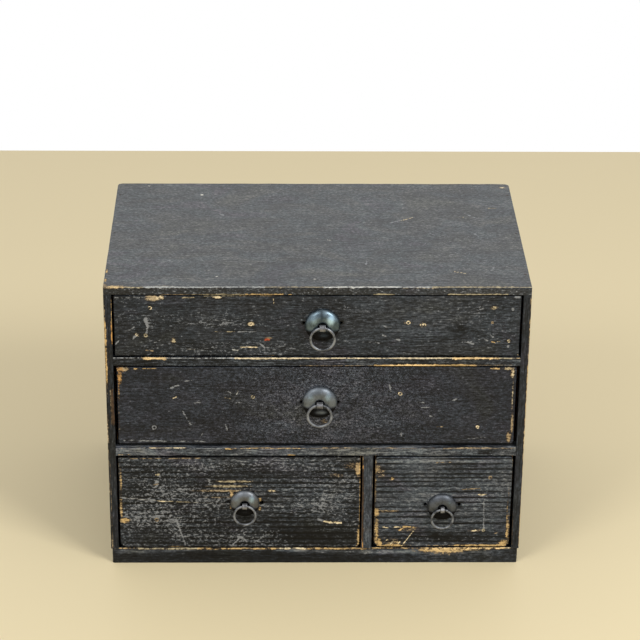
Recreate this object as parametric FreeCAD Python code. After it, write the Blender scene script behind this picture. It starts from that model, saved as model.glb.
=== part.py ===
import FreeCAD, Part
import math
import os
from collections import namedtuple

# A small black-painted wooden chest: two full-width drawers over a wide and a narrow one.
# The carcass is nailed with forged square nails, its shelves are housed in the sides, and each
# drawer has a ring pull: a hollow domed rosette, a split pin clinched inside, and a hanging ring.
# Sizes are in millimetres. +Z is up, the drawers open towards -Y, and the origin lies on the
# floor at the centre of the footprint that the carcass and its pulls take together.

# The carcass, outside
carcass_width = 420.0
carcass_depth = 266.0
carcass_height = 314.0

# Compartments, inside; the lower tier and its wide compartment take what is left
top_opening = 69.0
middle_opening = 92.4
narrow_opening = 144.4

# Carcass boards
side_thickness = 7.8
top_thickness = 7.8
shelf_thickness = 9.0
partition_thickness = 10.6
bottom_thickness = 9.2
back_thickness = 5.0
plinth_height = 8.5
plinth_width = 18.0
base_inset = 1.0

# Joints of the carcass
housing_depth = 2.6
housing_stop = 12.0
back_rebate = 4.0
back_lap = 6.0
back_joint_share = 0.5

# Worn edges of the carcass
rear_corner_radius = 5.0
front_corner_radius = 1.6
base_corner_radius = 2.0
top_bevel = 0.8
arris_bevel = 0.6

# Drawer boxes
drawer_recess = 1.5
front_thickness = 12.0
front_lap = 5.0
drawer_side_thickness = 6.5
drawer_back_thickness = 6.5
drawer_bottom_thickness = 5.0
drawer_housing = 2.0
drawer_back_inset = 5.0
side_drop = 0.8
back_drop = 3.0
runner_gap = 0.3
stop_gap = 0.4
front_bevel = 0.6

# Gaps round the drawer fronts
top_side_gap = 1.9
top_lower_gap = 1.6
top_upper_gap = 1.4
middle_side_gap = 3.0
middle_lower_gap = 4.2
middle_upper_gap = 1.7
wide_side_gap = 1.9
wide_lower_gap = 1.2
wide_upper_gap = 2.2
narrow_side_gap = 2.4
narrow_lower_gap = 1.2
narrow_upper_gap = 2.6

# Corners of the drawer fronts, from nearly sharp to broken away
crisp_corner = 1.2
soft_corner = 2.6
worn_corner = 5.0
broken_corner = 7.0

# Ring pulls: large ones on the upper two drawers, small ones on the lower two
large_rosette_radius = 17.5
large_dome_height = 6.2
large_ring_radius = 11.9
large_wire_radius = 1.45
large_hole_spacing = 37.0
small_rosette_radius = 15.2
small_dome_height = 5.6
small_ring_radius = 10.8
small_wire_radius = 1.25
small_hole_spacing = 34.4
rosette_thickness = 1.0
crown_share = 0.44
ring_clearance = 0.6
strip_width = 6.2
strip_thickness = 1.2
leg_gap = 0.3
bore_clearance = 0.3
pin_clearance = 0.15
seat_clearance = 0.05
clinch_length = 9.0
old_hole_radius = 1.5

# Facets of the turned and bent metal
turn_sides = 40
wire_sides = 8
outer_steps = 4
inner_steps = 2

# Places of the pulls from the centre of each front, and of the old screw holes from the pull
top_pull_offset = 4.9
top_pull_rise = 1.3
top_hole_rise = 2.3
middle_pull_offset = 2.9
middle_pull_rise = 4.3
middle_hole_rise = -0.2
wide_pull_offset = 5.2
wide_pull_rise = -0.6
wide_hole_rise = 0.6
narrow_pull_offset = -0.6
narrow_pull_rise = -4.8
narrow_hole_rise = 2.5

# Forged nails, square at the head and drawn to a point
nail_width = 2.2
top_nail_length = 24.0
shelf_nail_length = 20.0
base_nail_length = 22.0
plinth_nail_length = 15.0
back_nail_length = 15.0
drawer_nail_length = 13.0
drawer_nail_margin = 24.0
edge_nail_shares = (0.12, 0.5, 0.88)
shelf_nail_shares = (0.25, 0.75)
plinth_nail_shares = (0.15, 0.85)
drawer_nail_shares = (0.25, 0.75)
middle_share = 0.5

# How far a cut runs past the faces that it goes through
overrun = 2.0

# How closely two places agree, as a share of either
match_share = 0.000001

half_width = carcass_width / 2
half_base = half_width - base_inset
inner_half = half_width - side_thickness
partition_right = inner_half - narrow_opening
partition_left = partition_right - partition_thickness

base_top = plinth_height + bottom_thickness
top_underside = carcass_height - top_thickness
upper_shelf_top = top_underside - top_opening
upper_shelf_under = upper_shelf_top - shelf_thickness
lower_shelf_top = upper_shelf_under - middle_opening
lower_shelf_under = lower_shelf_top - shelf_thickness
back_joint = lower_shelf_top + middle_opening * back_joint_share

Opening = namedtuple("Opening", "left right bottom top")
Pull = namedtuple("Pull", "rosette_radius dome_height ring_radius wire_radius hole_spacing")
Drawer = namedtuple(
    "Drawer",
    "name opening side_gap lower_gap upper_gap lower_corners upper_corners"
    " pull pull_offset pull_rise hole_rise",
)

large_pull = Pull(
    large_rosette_radius,
    large_dome_height,
    large_ring_radius,
    large_wire_radius,
    large_hole_spacing,
)
small_pull = Pull(
    small_rosette_radius,
    small_dome_height,
    small_ring_radius,
    small_wire_radius,
    small_hole_spacing,
)

drawers = (
    Drawer(
        "top_drawer",
        Opening(-inner_half, inner_half, upper_shelf_top, top_underside),
        top_side_gap,
        top_lower_gap,
        top_upper_gap,
        (crisp_corner, crisp_corner),
        (crisp_corner, crisp_corner),
        large_pull,
        top_pull_offset,
        top_pull_rise,
        top_hole_rise,
    ),
    Drawer(
        "middle_drawer",
        Opening(-inner_half, inner_half, lower_shelf_top, upper_shelf_under),
        middle_side_gap,
        middle_lower_gap,
        middle_upper_gap,
        (soft_corner, soft_corner),
        (soft_corner, crisp_corner),
        large_pull,
        middle_pull_offset,
        middle_pull_rise,
        middle_hole_rise,
    ),
    Drawer(
        "bottom_left_drawer",
        Opening(-inner_half, partition_left, base_top, lower_shelf_under),
        wide_side_gap,
        wide_lower_gap,
        wide_upper_gap,
        (broken_corner, soft_corner),
        (soft_corner, soft_corner),
        small_pull,
        wide_pull_offset,
        wide_pull_rise,
        wide_hole_rise,
    ),
    Drawer(
        "bottom_right_drawer",
        Opening(partition_right, inner_half, base_top, lower_shelf_under),
        narrow_side_gap,
        narrow_lower_gap,
        narrow_upper_gap,
        (worn_corner, worn_corner),
        (soft_corner, soft_corner),
        small_pull,
        narrow_pull_offset,
        narrow_pull_rise,
        narrow_hole_rise,
    ),
)

leg_half = strip_thickness + leg_gap / 2
pin_hole_radius = math.hypot(strip_width / 2, leg_half) + pin_clearance


def bore_radius(pull):
    """The eye's bore: the ring's wire as it curves through the strip's width, and a clearance."""
    reach = strip_width / 2
    sag = pull.ring_radius - math.sqrt(pull.ring_radius**2 - reach**2)
    slope = math.asin(reach / pull.ring_radius)
    return pull.wire_radius / math.cos(slope) + sag + bore_clearance


def eye_radius(pull):
    """The outside of the eye's loop."""
    return bore_radius(pull) + strip_thickness


def pivot_reach(pull):
    """How far the ring's pivot stands in front of the drawer's face, to clear the dome."""
    return pull.dome_height + ring_clearance + pull.wire_radius


overhang = max(pivot_reach(pull) + eye_radius(pull) for pull in (large_pull, small_pull)) - drawer_recess
y_front = (overhang - carcass_depth) / 2
y_back = y_front + carcass_depth
y_back_board = y_back - back_thickness
y_face = y_front + drawer_recess
y_rebate = y_face + front_lap
y_inner = y_face + front_thickness
y_end = y_back_board - stop_gap


def block(x, y, z):
    """A block between a low and a high limit on each axis."""
    corner = FreeCAD.Vector(x[0], y[0], z[0])
    return Part.makeBox(x[1] - x[0], y[1] - y[0], z[1] - z[0], corner)


def mirrored(sign, near, far):
    """The limits of a stretch between two distances from the centre plane, on one side of it."""
    return tuple(sorted((sign * near, sign * far)))


def between(limits, share):
    """The place that lies a share of the way from a low to a high limit."""
    return limits[0] + (limits[1] - limits[0]) * share


def edges_at(shape, **place):
    """The edges that lie wholly at the given x, y and z."""
    axes = {"x": 0, "y": 1, "z": 2}
    found = []
    for edge in shape.Edges:
        matches = [
            math.isclose(vertex.Point[axes[name]], value, rel_tol=match_share)
            for vertex in edge.Vertexes
            for name, value in place.items()
        ]
        if all(matches):
            found.append(edge)
    return found


def solid_of(loops):
    """A solid closed by flat faces, each given as a loop of points."""
    faces = [Part.Face(Part.makePolygon(loop + loop[:1])) for loop in loops]
    solid = Part.Solid(Part.Shell(faces))
    if solid.Volume < 0:
        solid.reverse()
    return solid


def turned(centre, outline):
    """A closed outline of radius and height, turned in flats about an axis that points to -Y."""
    rings = []
    for turn in range(turn_sides):
        angle = 2 * math.pi * turn / turn_sides
        spoke = FreeCAD.Vector(math.cos(angle), 0, math.sin(angle))
        rise = FreeCAD.Vector(0, -1, 0)
        rings.append([centre + spoke * radius + rise * height for radius, height in outline])
    loops = []
    for turn in range(turn_sides):
        here, there = rings[turn - 1], rings[turn]
        for step in range(len(outline)):
            loops.append([here[step - 1], here[step], there[step], there[step - 1]])
    return solid_of(loops)


def nail(head, direction, length):
    """A square nail, drawn to a point, with the flat top of its head centred on a point."""
    half = nail_width / 2
    square = [(-half, -half), (half, -half), (half, half), (-half, half)]
    top = [FreeCAD.Vector(across, along, 0) for across, along in square]
    point = FreeCAD.Vector(0, 0, length)
    loops = [top] + [[top[side - 1], top[side], point] for side in range(len(top))]
    shape = solid_of(loops)
    turn = FreeCAD.Rotation(FreeCAD.Vector(0, 0, 1), direction)
    shape.Placement = FreeCAD.Placement(head, turn)
    return shape


# Carcass


def top_board():
    """The top lies over both sides; its rear corners are worn the roundest."""
    board = block((-half_width, half_width), (y_front, y_back), (top_underside, carcass_height))
    for x in (-half_width, half_width):
        board = board.makeFillet(rear_corner_radius, edges_at(board, x=x, y=y_back))
        board = board.makeFillet(front_corner_radius, edges_at(board, x=x, y=y_front))
    board = board.makeChamfer(top_bevel, edges_at(board, z=carcass_height))
    return board.cut(top_nails())


def side(sign):
    """A side, with stopped housings for the shelves and a rebate for the back; -1 is the left."""
    outer = sign * half_width
    board = block(mirrored(sign, inner_half, half_width), (y_front, y_back), (base_top, top_underside))
    board = board.makeChamfer(arris_bevel, edges_at(board, x=outer, y=y_front))
    rebate = block(
        mirrored(sign, inner_half - overrun, inner_half + back_rebate),
        (y_back_board, y_back + overrun),
        (base_top - overrun, top_underside + overrun),
    )
    board = board.cut([rebate, shelf_blank(upper_shelf_under), shelf_blank(lower_shelf_under)])
    return board.cut([top_nails(), shelf_nails(), base_nails(), back_nails()])


def shelf_blank(under):
    """A full-depth shelf whose ends are let into the sides, but not at the front."""
    heights = (under, under + shelf_thickness)
    housed_half = inner_half + housing_depth
    housed = block((-housed_half, housed_half), (y_front + housing_stop, y_back_board), heights)
    fronts = block((-inner_half, inner_half), (y_front, y_front + housing_stop), heights)
    return housed.fuse(fronts).removeSplitter()


def shelf(under):
    """A shelf with its front arrises rubbed down."""
    board = shelf_blank(under)
    arrises = edges_at(board, y=y_front, z=under) + edges_at(board, y=y_front, z=under + shelf_thickness)
    return board.makeChamfer(arris_bevel, arrises).cut(shelf_nails())


def partition_blank():
    """The upright between the lower drawers, let into the shelf above and the board below."""
    widths = (partition_left, partition_right)
    housed = block(
        widths,
        (y_front + housing_stop, y_back_board),
        (base_top - housing_depth, lower_shelf_under + housing_depth),
    )
    fronts = block(widths, (y_front, y_front + housing_stop), (base_top, lower_shelf_under))
    return housed.fuse(fronts).removeSplitter()


def partition():
    """The upright with its front arrises rubbed down."""
    board = partition_blank()
    arrises = edges_at(board, x=partition_left, y=y_front) + edges_at(board, x=partition_right, y=y_front)
    return board.makeChamfer(arris_bevel, arrises)


def bottom_board():
    """The board under the sides, set in a little all round."""
    y_low, y_high = y_front + base_inset, y_back - base_inset
    board = block((-half_base, half_base), (y_low, y_high), (plinth_height, base_top))
    for x in (-half_base, half_base):
        for y in (y_low, y_high):
            board = board.makeFillet(base_corner_radius, edges_at(board, x=x, y=y))
    return board.cut([partition_blank(), base_nails(), plinth_nails()])


def plinth_strip_across(y_outer, y_within):
    """A strip across the front or the back, under the bottom board."""
    limits = tuple(sorted((y_outer, y_within)))
    strip = block((-half_base, half_base), limits, (0, plinth_height))
    for x in (-half_base, half_base):
        strip = strip.makeFillet(base_corner_radius, edges_at(strip, x=x, y=y_outer))
    return strip.cut(plinth_nails())


def plinth_strip_along(sign):
    """A strip under one side, between the strips across."""
    strip = block(
        mirrored(sign, half_base - plinth_width, half_base),
        (y_front + base_inset + plinth_width, y_back - base_inset - plinth_width),
        (0, plinth_height),
    )
    return strip.cut(plinth_nails())


def back_board(low, high, lap_y, lap_z):
    """A back board between two heights, with half its thickness lapping the other board."""
    widths = (-inner_half - back_rebate, inner_half + back_rebate)
    board = block(widths, (y_back_board, y_back), (low, high))
    lap = block(widths, lap_y, lap_z)
    return board.fuse(lap).removeSplitter().cut(back_nails())


def back_board_lower():
    """The lower back board laps inside the upper one."""
    lap_y = (y_back_board, y_back_board + back_thickness / 2)
    return back_board(base_top, back_joint, lap_y, (back_joint, back_joint + back_lap))


def back_board_upper():
    """The upper back board laps outside the lower one, so that dust falls clear."""
    lap_y = (y_back_board + back_thickness / 2, y_back)
    return back_board(back_joint + back_lap, top_underside, lap_y, (back_joint, back_joint + back_lap))


def top_nails():
    """Nails through the top into both sides."""
    nails = []
    for sign in (-1, 1):
        for share in edge_nail_shares:
            x = sign * (inner_half + side_thickness / 2)
            head = FreeCAD.Vector(x, between((y_front, y_back), share), carcass_height)
            nails.append(nail(head, FreeCAD.Vector(0, 0, -1), top_nail_length))
    return Part.makeCompound(nails)


def shelf_nails():
    """Nails through both sides into the ends of the shelves."""
    nails = []
    for sign in (-1, 1):
        for under in (lower_shelf_under, upper_shelf_under):
            for share in shelf_nail_shares:
                y = between((y_front, y_back), share)
                head = FreeCAD.Vector(sign * half_width, y, under + shelf_thickness / 2)
                nails.append(nail(head, FreeCAD.Vector(-sign, 0, 0), shelf_nail_length))
    return Part.makeCompound(nails)


def base_nails():
    """Nails up through the bottom board into both sides, hidden by the plinth."""
    nails = []
    for sign in (-1, 1):
        for share in edge_nail_shares:
            x = sign * (inner_half + side_thickness / 2)
            head = FreeCAD.Vector(x, between((y_front, y_back), share), plinth_height)
            nails.append(nail(head, FreeCAD.Vector(0, 0, 1), base_nail_length))
    return Part.makeCompound(nails)


def plinth_nails():
    """Nails up through the plinth's four strips into the bottom board."""
    across = (-half_base, half_base)
    along = half_base - plinth_width / 2
    y_middle = between((y_front, y_back), middle_share)
    places = [(-along, y_middle), (along, y_middle)]
    for share in plinth_nail_shares:
        places.append((between(across, share), y_front + base_inset + plinth_width / 2))
        places.append((between(across, share), y_back - base_inset - plinth_width / 2))
    up = FreeCAD.Vector(0, 0, 1)
    return Part.makeCompound([nail(FreeCAD.Vector(x, y, 0), up, plinth_nail_length) for x, y in places])


def back_nails():
    """Nails from behind, through the ends of both back boards into the sides."""
    nails = []
    for sign in (-1, 1):
        for tier in ((base_top, lower_shelf_under), (upper_shelf_top, top_underside)):
            for share in drawer_nail_shares:
                x = sign * (inner_half + back_rebate / 2)
                head = FreeCAD.Vector(x, y_back, between(tier, share))
                nails.append(nail(head, FreeCAD.Vector(0, -1, 0), back_nail_length))
    return Part.makeCompound(nails)


# Drawers


def front_width(drawer):
    """The left and right ends of a drawer's front, which its box shares."""
    return (drawer.opening.left + drawer.side_gap, drawer.opening.right - drawer.side_gap)


def front_height(drawer):
    """The lower and upper edge of a drawer's front."""
    return (drawer.opening.bottom + drawer.lower_gap, drawer.opening.top - drawer.upper_gap)


def bottom_height(drawer):
    """The underside and the upper face of a drawer's bottom, which slides on what is below."""
    under = drawer.opening.bottom + runner_gap
    return (under, under + drawer_bottom_thickness)


def side_height(drawer):
    """The lower and upper edge of a drawer's sides."""
    return (bottom_height(drawer)[1], front_height(drawer)[1] - side_drop)


def back_depth():
    """The inner and outer face of a drawer's back."""
    outer = y_end - drawer_back_inset
    return (outer - drawer_back_thickness, outer)


def pull_place(drawer):
    """The pull's x and z on a drawer's front."""
    x = between(front_width(drawer), middle_share) + drawer.pull_offset
    z = between(front_height(drawer), middle_share) + drawer.pull_rise
    return x, z


def drawer_front(drawer):
    """A front with worn corners, rebated behind for the box, with the pin's slot and old holes."""
    widths, heights = front_width(drawer), front_height(drawer)
    front = block(widths, (y_face, y_inner), heights)
    for z, radii in zip(heights, (drawer.lower_corners, drawer.upper_corners)):
        for x, radius in zip(widths, radii):
            front = front.makeFillet(radius, edges_at(front, x=x, z=z))
    front = front.makeChamfer(front_bevel, edges_at(front, y=y_face))
    behind = (y_rebate, y_inner + overrun)
    past = (heights[0] - overrun, heights[1] + overrun)
    left_end = block((widths[0] - overrun, widths[0] + drawer_side_thickness), behind, past)
    right_end = block((widths[1] - drawer_side_thickness, widths[1] + overrun), behind, past)
    front = front.cut([left_end, right_end, bottom_blank(drawer), eye_slot(drawer)])
    return front.cut(old_holes(drawer)).cut(drawer_nails(drawer))


def bottom_blank(drawer):
    """A bottom as wide as the box, let into the front and run out under the back."""
    return block(front_width(drawer), (y_rebate, y_end), bottom_height(drawer))


def eye_slot(drawer):
    """The slot that the split pin's legs pass through."""
    x, z = pull_place(drawer)
    widths = (x - strip_width / 2, x + strip_width / 2)
    return block(widths, (y_face - overrun, y_inner + overrun), (z - leg_half, z + leg_half))


def old_holes(drawer):
    """Two screw holes that an earlier handle left, level with each other beside the rosette."""
    x, z = pull_place(drawer)
    holes = []
    for sign in (-1, 1):
        start = FreeCAD.Vector(
            x + sign * drawer.pull.hole_spacing / 2,
            y_face - overrun,
            z + drawer.hole_rise,
        )
        through = front_thickness + 2 * overrun
        holes.append(Part.makeCylinder(old_hole_radius, through, start, FreeCAD.Vector(0, 1, 0)))
    return holes


def drawer_side(drawer, end):
    """A drawer's side, nailed into the front's rebate and housing the back; 0 is the left end."""
    outer = front_width(drawer)[end]
    inner = outer + (drawer_side_thickness, -drawer_side_thickness)[end]
    board = block(tuple(sorted((outer, inner))), (y_rebate, y_end), side_height(drawer))
    return board.cut([drawer_back(drawer), drawer_nails(drawer)])


def drawer_back(drawer):
    """A drawer's back, lower than the sides and housed in both."""
    left, right = front_width(drawer)
    cover = drawer_side_thickness - drawer_housing
    low, high = side_height(drawer)
    back = block((left + cover, right - cover), back_depth(), (low, high - back_drop))
    return back.cut(drawer_nails(drawer))


def drawer_bottom(drawer):
    """A drawer's bottom, nailed on from below."""
    return bottom_blank(drawer).cut(drawer_nails(drawer))


def drawer_nails(drawer):
    """Nails through the sides into the front, and up through the bottom into what is above it."""
    nails = []
    left, right = front_width(drawer)
    behind_lap = between((y_rebate, y_inner), middle_share)
    for share in drawer_nail_shares:
        z = between(side_height(drawer), share)
        for x, inward in ((left, 1), (right, -1)):
            head = FreeCAD.Vector(x, behind_lap, z)
            nails.append(nail(head, FreeCAD.Vector(inward, 0, 0), drawer_nail_length))
    places = []
    for x in (left + drawer_nail_margin, right - drawer_nail_margin):
        places.append((x, behind_lap))
        places.append((x, between(back_depth(), middle_share)))
    for x in (left + drawer_side_thickness / 2, right - drawer_side_thickness / 2):
        places.append((x, between((y_inner, back_depth()[0]), middle_share)))
    for x, y in places:
        head = FreeCAD.Vector(x, y, bottom_height(drawer)[0])
        nails.append(nail(head, FreeCAD.Vector(0, 0, 1), drawer_nail_length))
    return Part.makeCompound(nails)


# Ring pulls


def eye_seat(pull):
    """The height over the drawer's face at which the eye's loop bears on the rosette's hole."""
    corner = math.sqrt(pin_hole_radius**2 - (strip_width / 2) ** 2)
    return pivot_reach(pull) - math.sqrt(eye_radius(pull) ** 2 - corner**2) - seat_clearance


def quarter_round(start, height, centre, steps):
    """Points of a quarter ellipse that rises from a radius at the foot to a radius at the crown."""
    points = []
    for step in range(steps + 1):
        angle = math.pi / 2 * step / steps
        radius = centre + (start - centre) * math.cos(angle)
        points.append((radius, height * math.sin(angle)))
    return points


def rosette(drawer):
    """A hollow dome of sheet iron with a flat crown, dished round the hole for the split pin."""
    pull = drawer.pull
    x, z = pull_place(drawer)
    crown = pull.rosette_radius * crown_share
    dish = math.hypot(strip_width / 2, eye_radius(pull)) + pin_clearance
    seat = eye_seat(pull)
    within = pull.dome_height - rosette_thickness
    outside = quarter_round(pull.rosette_radius, pull.dome_height, crown, outer_steps)
    hole = [
        (dish, pull.dome_height),
        (pin_hole_radius, seat),
        (pin_hole_radius, seat - rosette_thickness),
        (dish, within),
    ]
    inside = quarter_round(pull.rosette_radius - rosette_thickness, within, crown, inner_steps)
    return turned(FreeCAD.Vector(x, y_face, z), outside + hole + inside[::-1])


def eye(drawer):
    """A split pin: a strip looped round the ring, its legs through the front and bent apart."""
    pull = drawer.pull
    x, z = pull_place(drawer)
    pivot = y_face - pivot_reach(pull)
    y_clinch = y_inner + strip_thickness
    widths = (x - strip_width / 2, x + strip_width / 2)
    start = FreeCAD.Vector(widths[0], pivot, z)
    across = FreeCAD.Vector(1, 0, 0)
    loop = Part.makeCylinder(eye_radius(pull), strip_width, start, across)
    bore = Part.makeCylinder(bore_radius(pull), strip_width, start, across)
    legs = block(widths, (pivot, y_clinch), (z - leg_half, z + leg_half))
    reach = leg_half + clinch_length
    clinch = block(widths, (y_inner, y_clinch), (z - reach, z + reach))
    slit = block(widths, (pivot, y_clinch), (z - leg_gap / 2, z + leg_gap / 2))
    return loop.fuse([legs, clinch]).removeSplitter().cut([bore, slit])


def ring(drawer):
    """The ring, hanging in the eye with its centre one radius below the pivot."""
    pull = drawer.pull
    x, z = pull_place(drawer)
    outline = []
    for side_number in range(wire_sides):
        angle = 2 * math.pi * (side_number + middle_share) / wire_sides
        radius = pull.ring_radius + pull.wire_radius * math.cos(angle)
        outline.append((radius, pull.wire_radius * math.sin(angle)))
    centre = FreeCAD.Vector(x, y_face - pivot_reach(pull), z - pull.ring_radius)
    return turned(centre, outline)


def save(name, shape):
    """Writes one piece, or one group of like pieces, as a STEP file."""
    shape.exportStep(os.path.join("parts", name + ".step"))


def save_carcass():
    """Writes every piece of the carcass."""
    save("top_board", top_board())
    save("left_side", side(-1))
    save("right_side", side(1))
    save("upper_shelf", shelf(upper_shelf_under))
    save("lower_shelf", shelf(lower_shelf_under).cut(partition_blank()))
    save("partition", partition())
    save("bottom_board", bottom_board())
    save("plinth_front", plinth_strip_across(y_front + base_inset, y_front + base_inset + plinth_width))
    save("plinth_back", plinth_strip_across(y_back - base_inset, y_back - base_inset - plinth_width))
    save("plinth_left", plinth_strip_along(-1))
    save("plinth_right", plinth_strip_along(1))
    save("back_board_lower", back_board_lower())
    save("back_board_upper", back_board_upper())
    save("top_nails", top_nails())
    save("shelf_nails", shelf_nails())
    save("base_nails", base_nails())
    save("plinth_nails", plinth_nails())
    save("back_nails", back_nails())


def save_drawer(drawer):
    """Writes every piece of one drawer and its pull."""
    save(drawer.name + "_front", drawer_front(drawer))
    save(drawer.name + "_left_side", drawer_side(drawer, 0))
    save(drawer.name + "_right_side", drawer_side(drawer, 1))
    save(drawer.name + "_back", drawer_back(drawer))
    save(drawer.name + "_bottom", drawer_bottom(drawer))
    save(drawer.name + "_nails", drawer_nails(drawer))
    save(drawer.name + "_rosette", rosette(drawer))
    save(drawer.name + "_eye", eye(drawer))
    save(drawer.name + "_ring", ring(drawer))


os.makedirs("parts", exist_ok=True)
save_carcass()
for drawer in drawers:
    save_drawer(drawer)
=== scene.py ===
import itertools
import math
from collections import namedtuple

import bmesh
import bpy
import numpy as np
from mathutils import Matrix, Vector

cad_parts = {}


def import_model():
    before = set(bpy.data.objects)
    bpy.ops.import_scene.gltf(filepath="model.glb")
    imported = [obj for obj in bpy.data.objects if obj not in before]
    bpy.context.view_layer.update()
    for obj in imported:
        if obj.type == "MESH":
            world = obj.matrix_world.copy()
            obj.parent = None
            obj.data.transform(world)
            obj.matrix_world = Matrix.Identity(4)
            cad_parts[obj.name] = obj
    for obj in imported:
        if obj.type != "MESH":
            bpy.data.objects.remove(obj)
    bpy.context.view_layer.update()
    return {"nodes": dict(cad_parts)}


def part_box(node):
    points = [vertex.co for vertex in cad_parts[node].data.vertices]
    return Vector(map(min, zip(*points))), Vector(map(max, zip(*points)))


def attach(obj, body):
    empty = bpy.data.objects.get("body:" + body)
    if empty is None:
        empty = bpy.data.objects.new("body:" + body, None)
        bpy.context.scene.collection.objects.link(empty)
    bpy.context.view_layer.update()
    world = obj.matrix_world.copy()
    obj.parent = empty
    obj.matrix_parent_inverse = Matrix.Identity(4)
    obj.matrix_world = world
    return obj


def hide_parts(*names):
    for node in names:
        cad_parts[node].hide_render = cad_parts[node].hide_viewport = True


# The looks of a small black-painted chest: worn boards and drawer fronts, domed rosettes with ring
# pulls, and bare wood inside. Lengths are in metres, so a size in millimetres is written times mm.

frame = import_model()
mm = 0.001

# The camera, solved from the corners of the chest in the photograph
PHOTO_WIDTH = 640
PHOTO_FOCAL = 2409.4
SENSOR_WIDTH = 36.0
CAMERA_PLACE = Vector((-47.2, -2262.0, 1307.3)) * mm
CAMERA_PITCH = math.radians(25.72)
CAMERA_YAW = math.radians(1.3295)
CAMERA_ROLL = math.radians(0.63)

# Floor and light
FLOOR_SIDE = 2.6
FLOOR_FRONT = -3.2
FLOOR_BACK = 1.02
WORLD_STRENGTH = 0.62
LIGHT_SIZE = 0.8
LIGHT_TARGET = Vector((0, 0, 0.2))

TOP, LEFT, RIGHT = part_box("top_board"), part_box("left_side"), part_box("right_side")
SHELF_1, SHELF_2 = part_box("upper_shelf"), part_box("lower_shelf")
UPRIGHT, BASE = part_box("partition"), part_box("bottom_board")
FRONT_PLANE = TOP[0].y
FACE_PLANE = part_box("top_drawer_front")[0].y
TOP_PLANE = TOP[1].z

DRAWERS = ("top_drawer", "middle_drawer", "bottom_left_drawer", "bottom_right_drawer")


def srgb(red, green, blue):
    """A colour as it looks on a screen, from 0 to 255, as the linear colour that a shader takes."""
    shares = [value / 255 for value in (red, green, blue)]
    linear = [s / 12.92 if s < 0.04045 else ((s + 0.055) / 1.055) ** 2.4 for s in shares]
    return (*linear, 1.0)


# Shades of the old black paint, from its pores to its scuffs, each with its place from 0 to 1
SHADES = (
    (0.0, srgb(3, 3, 4)),
    (0.3, srgb(23, 25, 28)),
    (0.5, srgb(45, 48, 53)),
    (0.7, srgb(76, 80, 86)),
    (1.0, srgb(130, 132, 133)),
)
# How the paint leans from one area to the next: towards purple, blue-green and olive, on the
# middle drawer towards violet and blue, and on the top towards brown
CASTS = (
    (0.34, (0.96, 0.9, 0.98, 1.0)),
    (0.45, (0.88, 0.95, 0.98, 1.0)),
    (0.55, (0.94, 0.94, 0.94, 1.0)),
    (0.66, (0.98, 0.96, 0.86, 1.0)),
)
COOL_CASTS = (
    (0.34, (0.99, 0.93, 1.05, 1.0)),
    (0.46, (0.91, 0.96, 1.06, 1.0)),
    (0.56, (0.98, 0.94, 1.04, 1.0)),
    (0.68, (1.0, 0.98, 0.94, 1.0)),
)
TOP_CASTS = (
    (0.36, (0.95, 0.86, 0.86, 1.0)),
    (0.46, (0.85, 0.9, 0.84, 1.0)),
    (0.54, (0.9, 0.86, 0.78, 1.0)),
    (0.64, (0.92, 0.88, 0.74, 1.0)),
)
DUST = srgb(142, 144, 146)
UNDERCOAT = srgb(58, 44, 30)
# Black painted on as shade: in the rosettes' holes, on their lower halves and on the drawer bottoms by the
# front
SHADE_BLACK = srgb(11, 10, 10)
# Colours that show where the paint is gone
TINTS = {
    "gold": srgb(202, 170, 116),
    "orange": srgb(194, 146, 84),
    "cream": srgb(230, 212, 174),
    "amber": srgb(240, 206, 148),
    "chalk": srgb(178, 180, 176),
    "khaki": srgb(172, 160, 130),
    "tan": srgb(158, 138, 108),
    "white": srgb(214, 214, 206),
    "brown": srgb(78, 60, 44),
    "red": srgb(160, 74, 48),
}
# Marks that only dull the paint, and how strong they are
SCUFFS = {"pale": 1.0, "grey": 0.72}
# Bare wood, dark and light
OLD_WOOD = srgb(96, 68, 42), srgb(158, 122, 82)
SIDE_WOOD = srgb(104, 74, 46), srgb(166, 130, 88)
LOWER_BACK_WOOD = srgb(78, 58, 40), srgb(134, 108, 78)
UPPER_BACK_WOOD = srgb(70, 50, 34), srgb(124, 94, 64)
WOOD_UNDER_PAINT = srgb(112, 80, 50), srgb(160, 122, 80)
WOOD_STAIN, WOOD_SPOT = srgb(78, 56, 36), srgb(52, 38, 28)
FLOOR_COLOUR = srgb(228, 212, 172)
# Dark, light and rust of the iron of the rings and of the split pins
RING_STEEL = srgb(58, 60, 63), srgb(144, 147, 152), srgb(76, 68, 62)
PIN_STEEL = srgb(84, 85, 88), srgb(150, 151, 154), srgb(92, 82, 74)
# The colour of the painted highlights on the rosettes
HIGHLIGHT_STEEL = srgb(184, 216, 236)
NAIL_DARK, NAIL_RUST = srgb(26, 24, 24), srgb(72, 52, 40)


def camera_axes():
    """Forward, right and up of the camera."""
    forward = Vector((
        math.sin(CAMERA_YAW) * math.cos(CAMERA_PITCH),
        math.cos(CAMERA_YAW) * math.cos(CAMERA_PITCH),
        -math.sin(CAMERA_PITCH),
    ))
    level = forward.cross(Vector((0, 0, 1))).normalized()
    above = level.cross(forward)
    right = level * math.cos(CAMERA_ROLL) + above * math.sin(CAMERA_ROLL)
    up = above * math.cos(CAMERA_ROLL) - level * math.sin(CAMERA_ROLL)
    return forward, right, up


def at_pixel(x, y, axis, plane):
    """Where the line of sight through a pixel of the photograph meets a plane square to an axis."""
    forward, right, up = camera_axes()
    middle = PHOTO_WIDTH / 2
    sight = forward * PHOTO_FOCAL + right * (x - middle) + up * (middle - y)
    return CAMERA_PLACE + sight * ((plane - CAMERA_PLACE[axis]) / sight[axis])


# Random values


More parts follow.
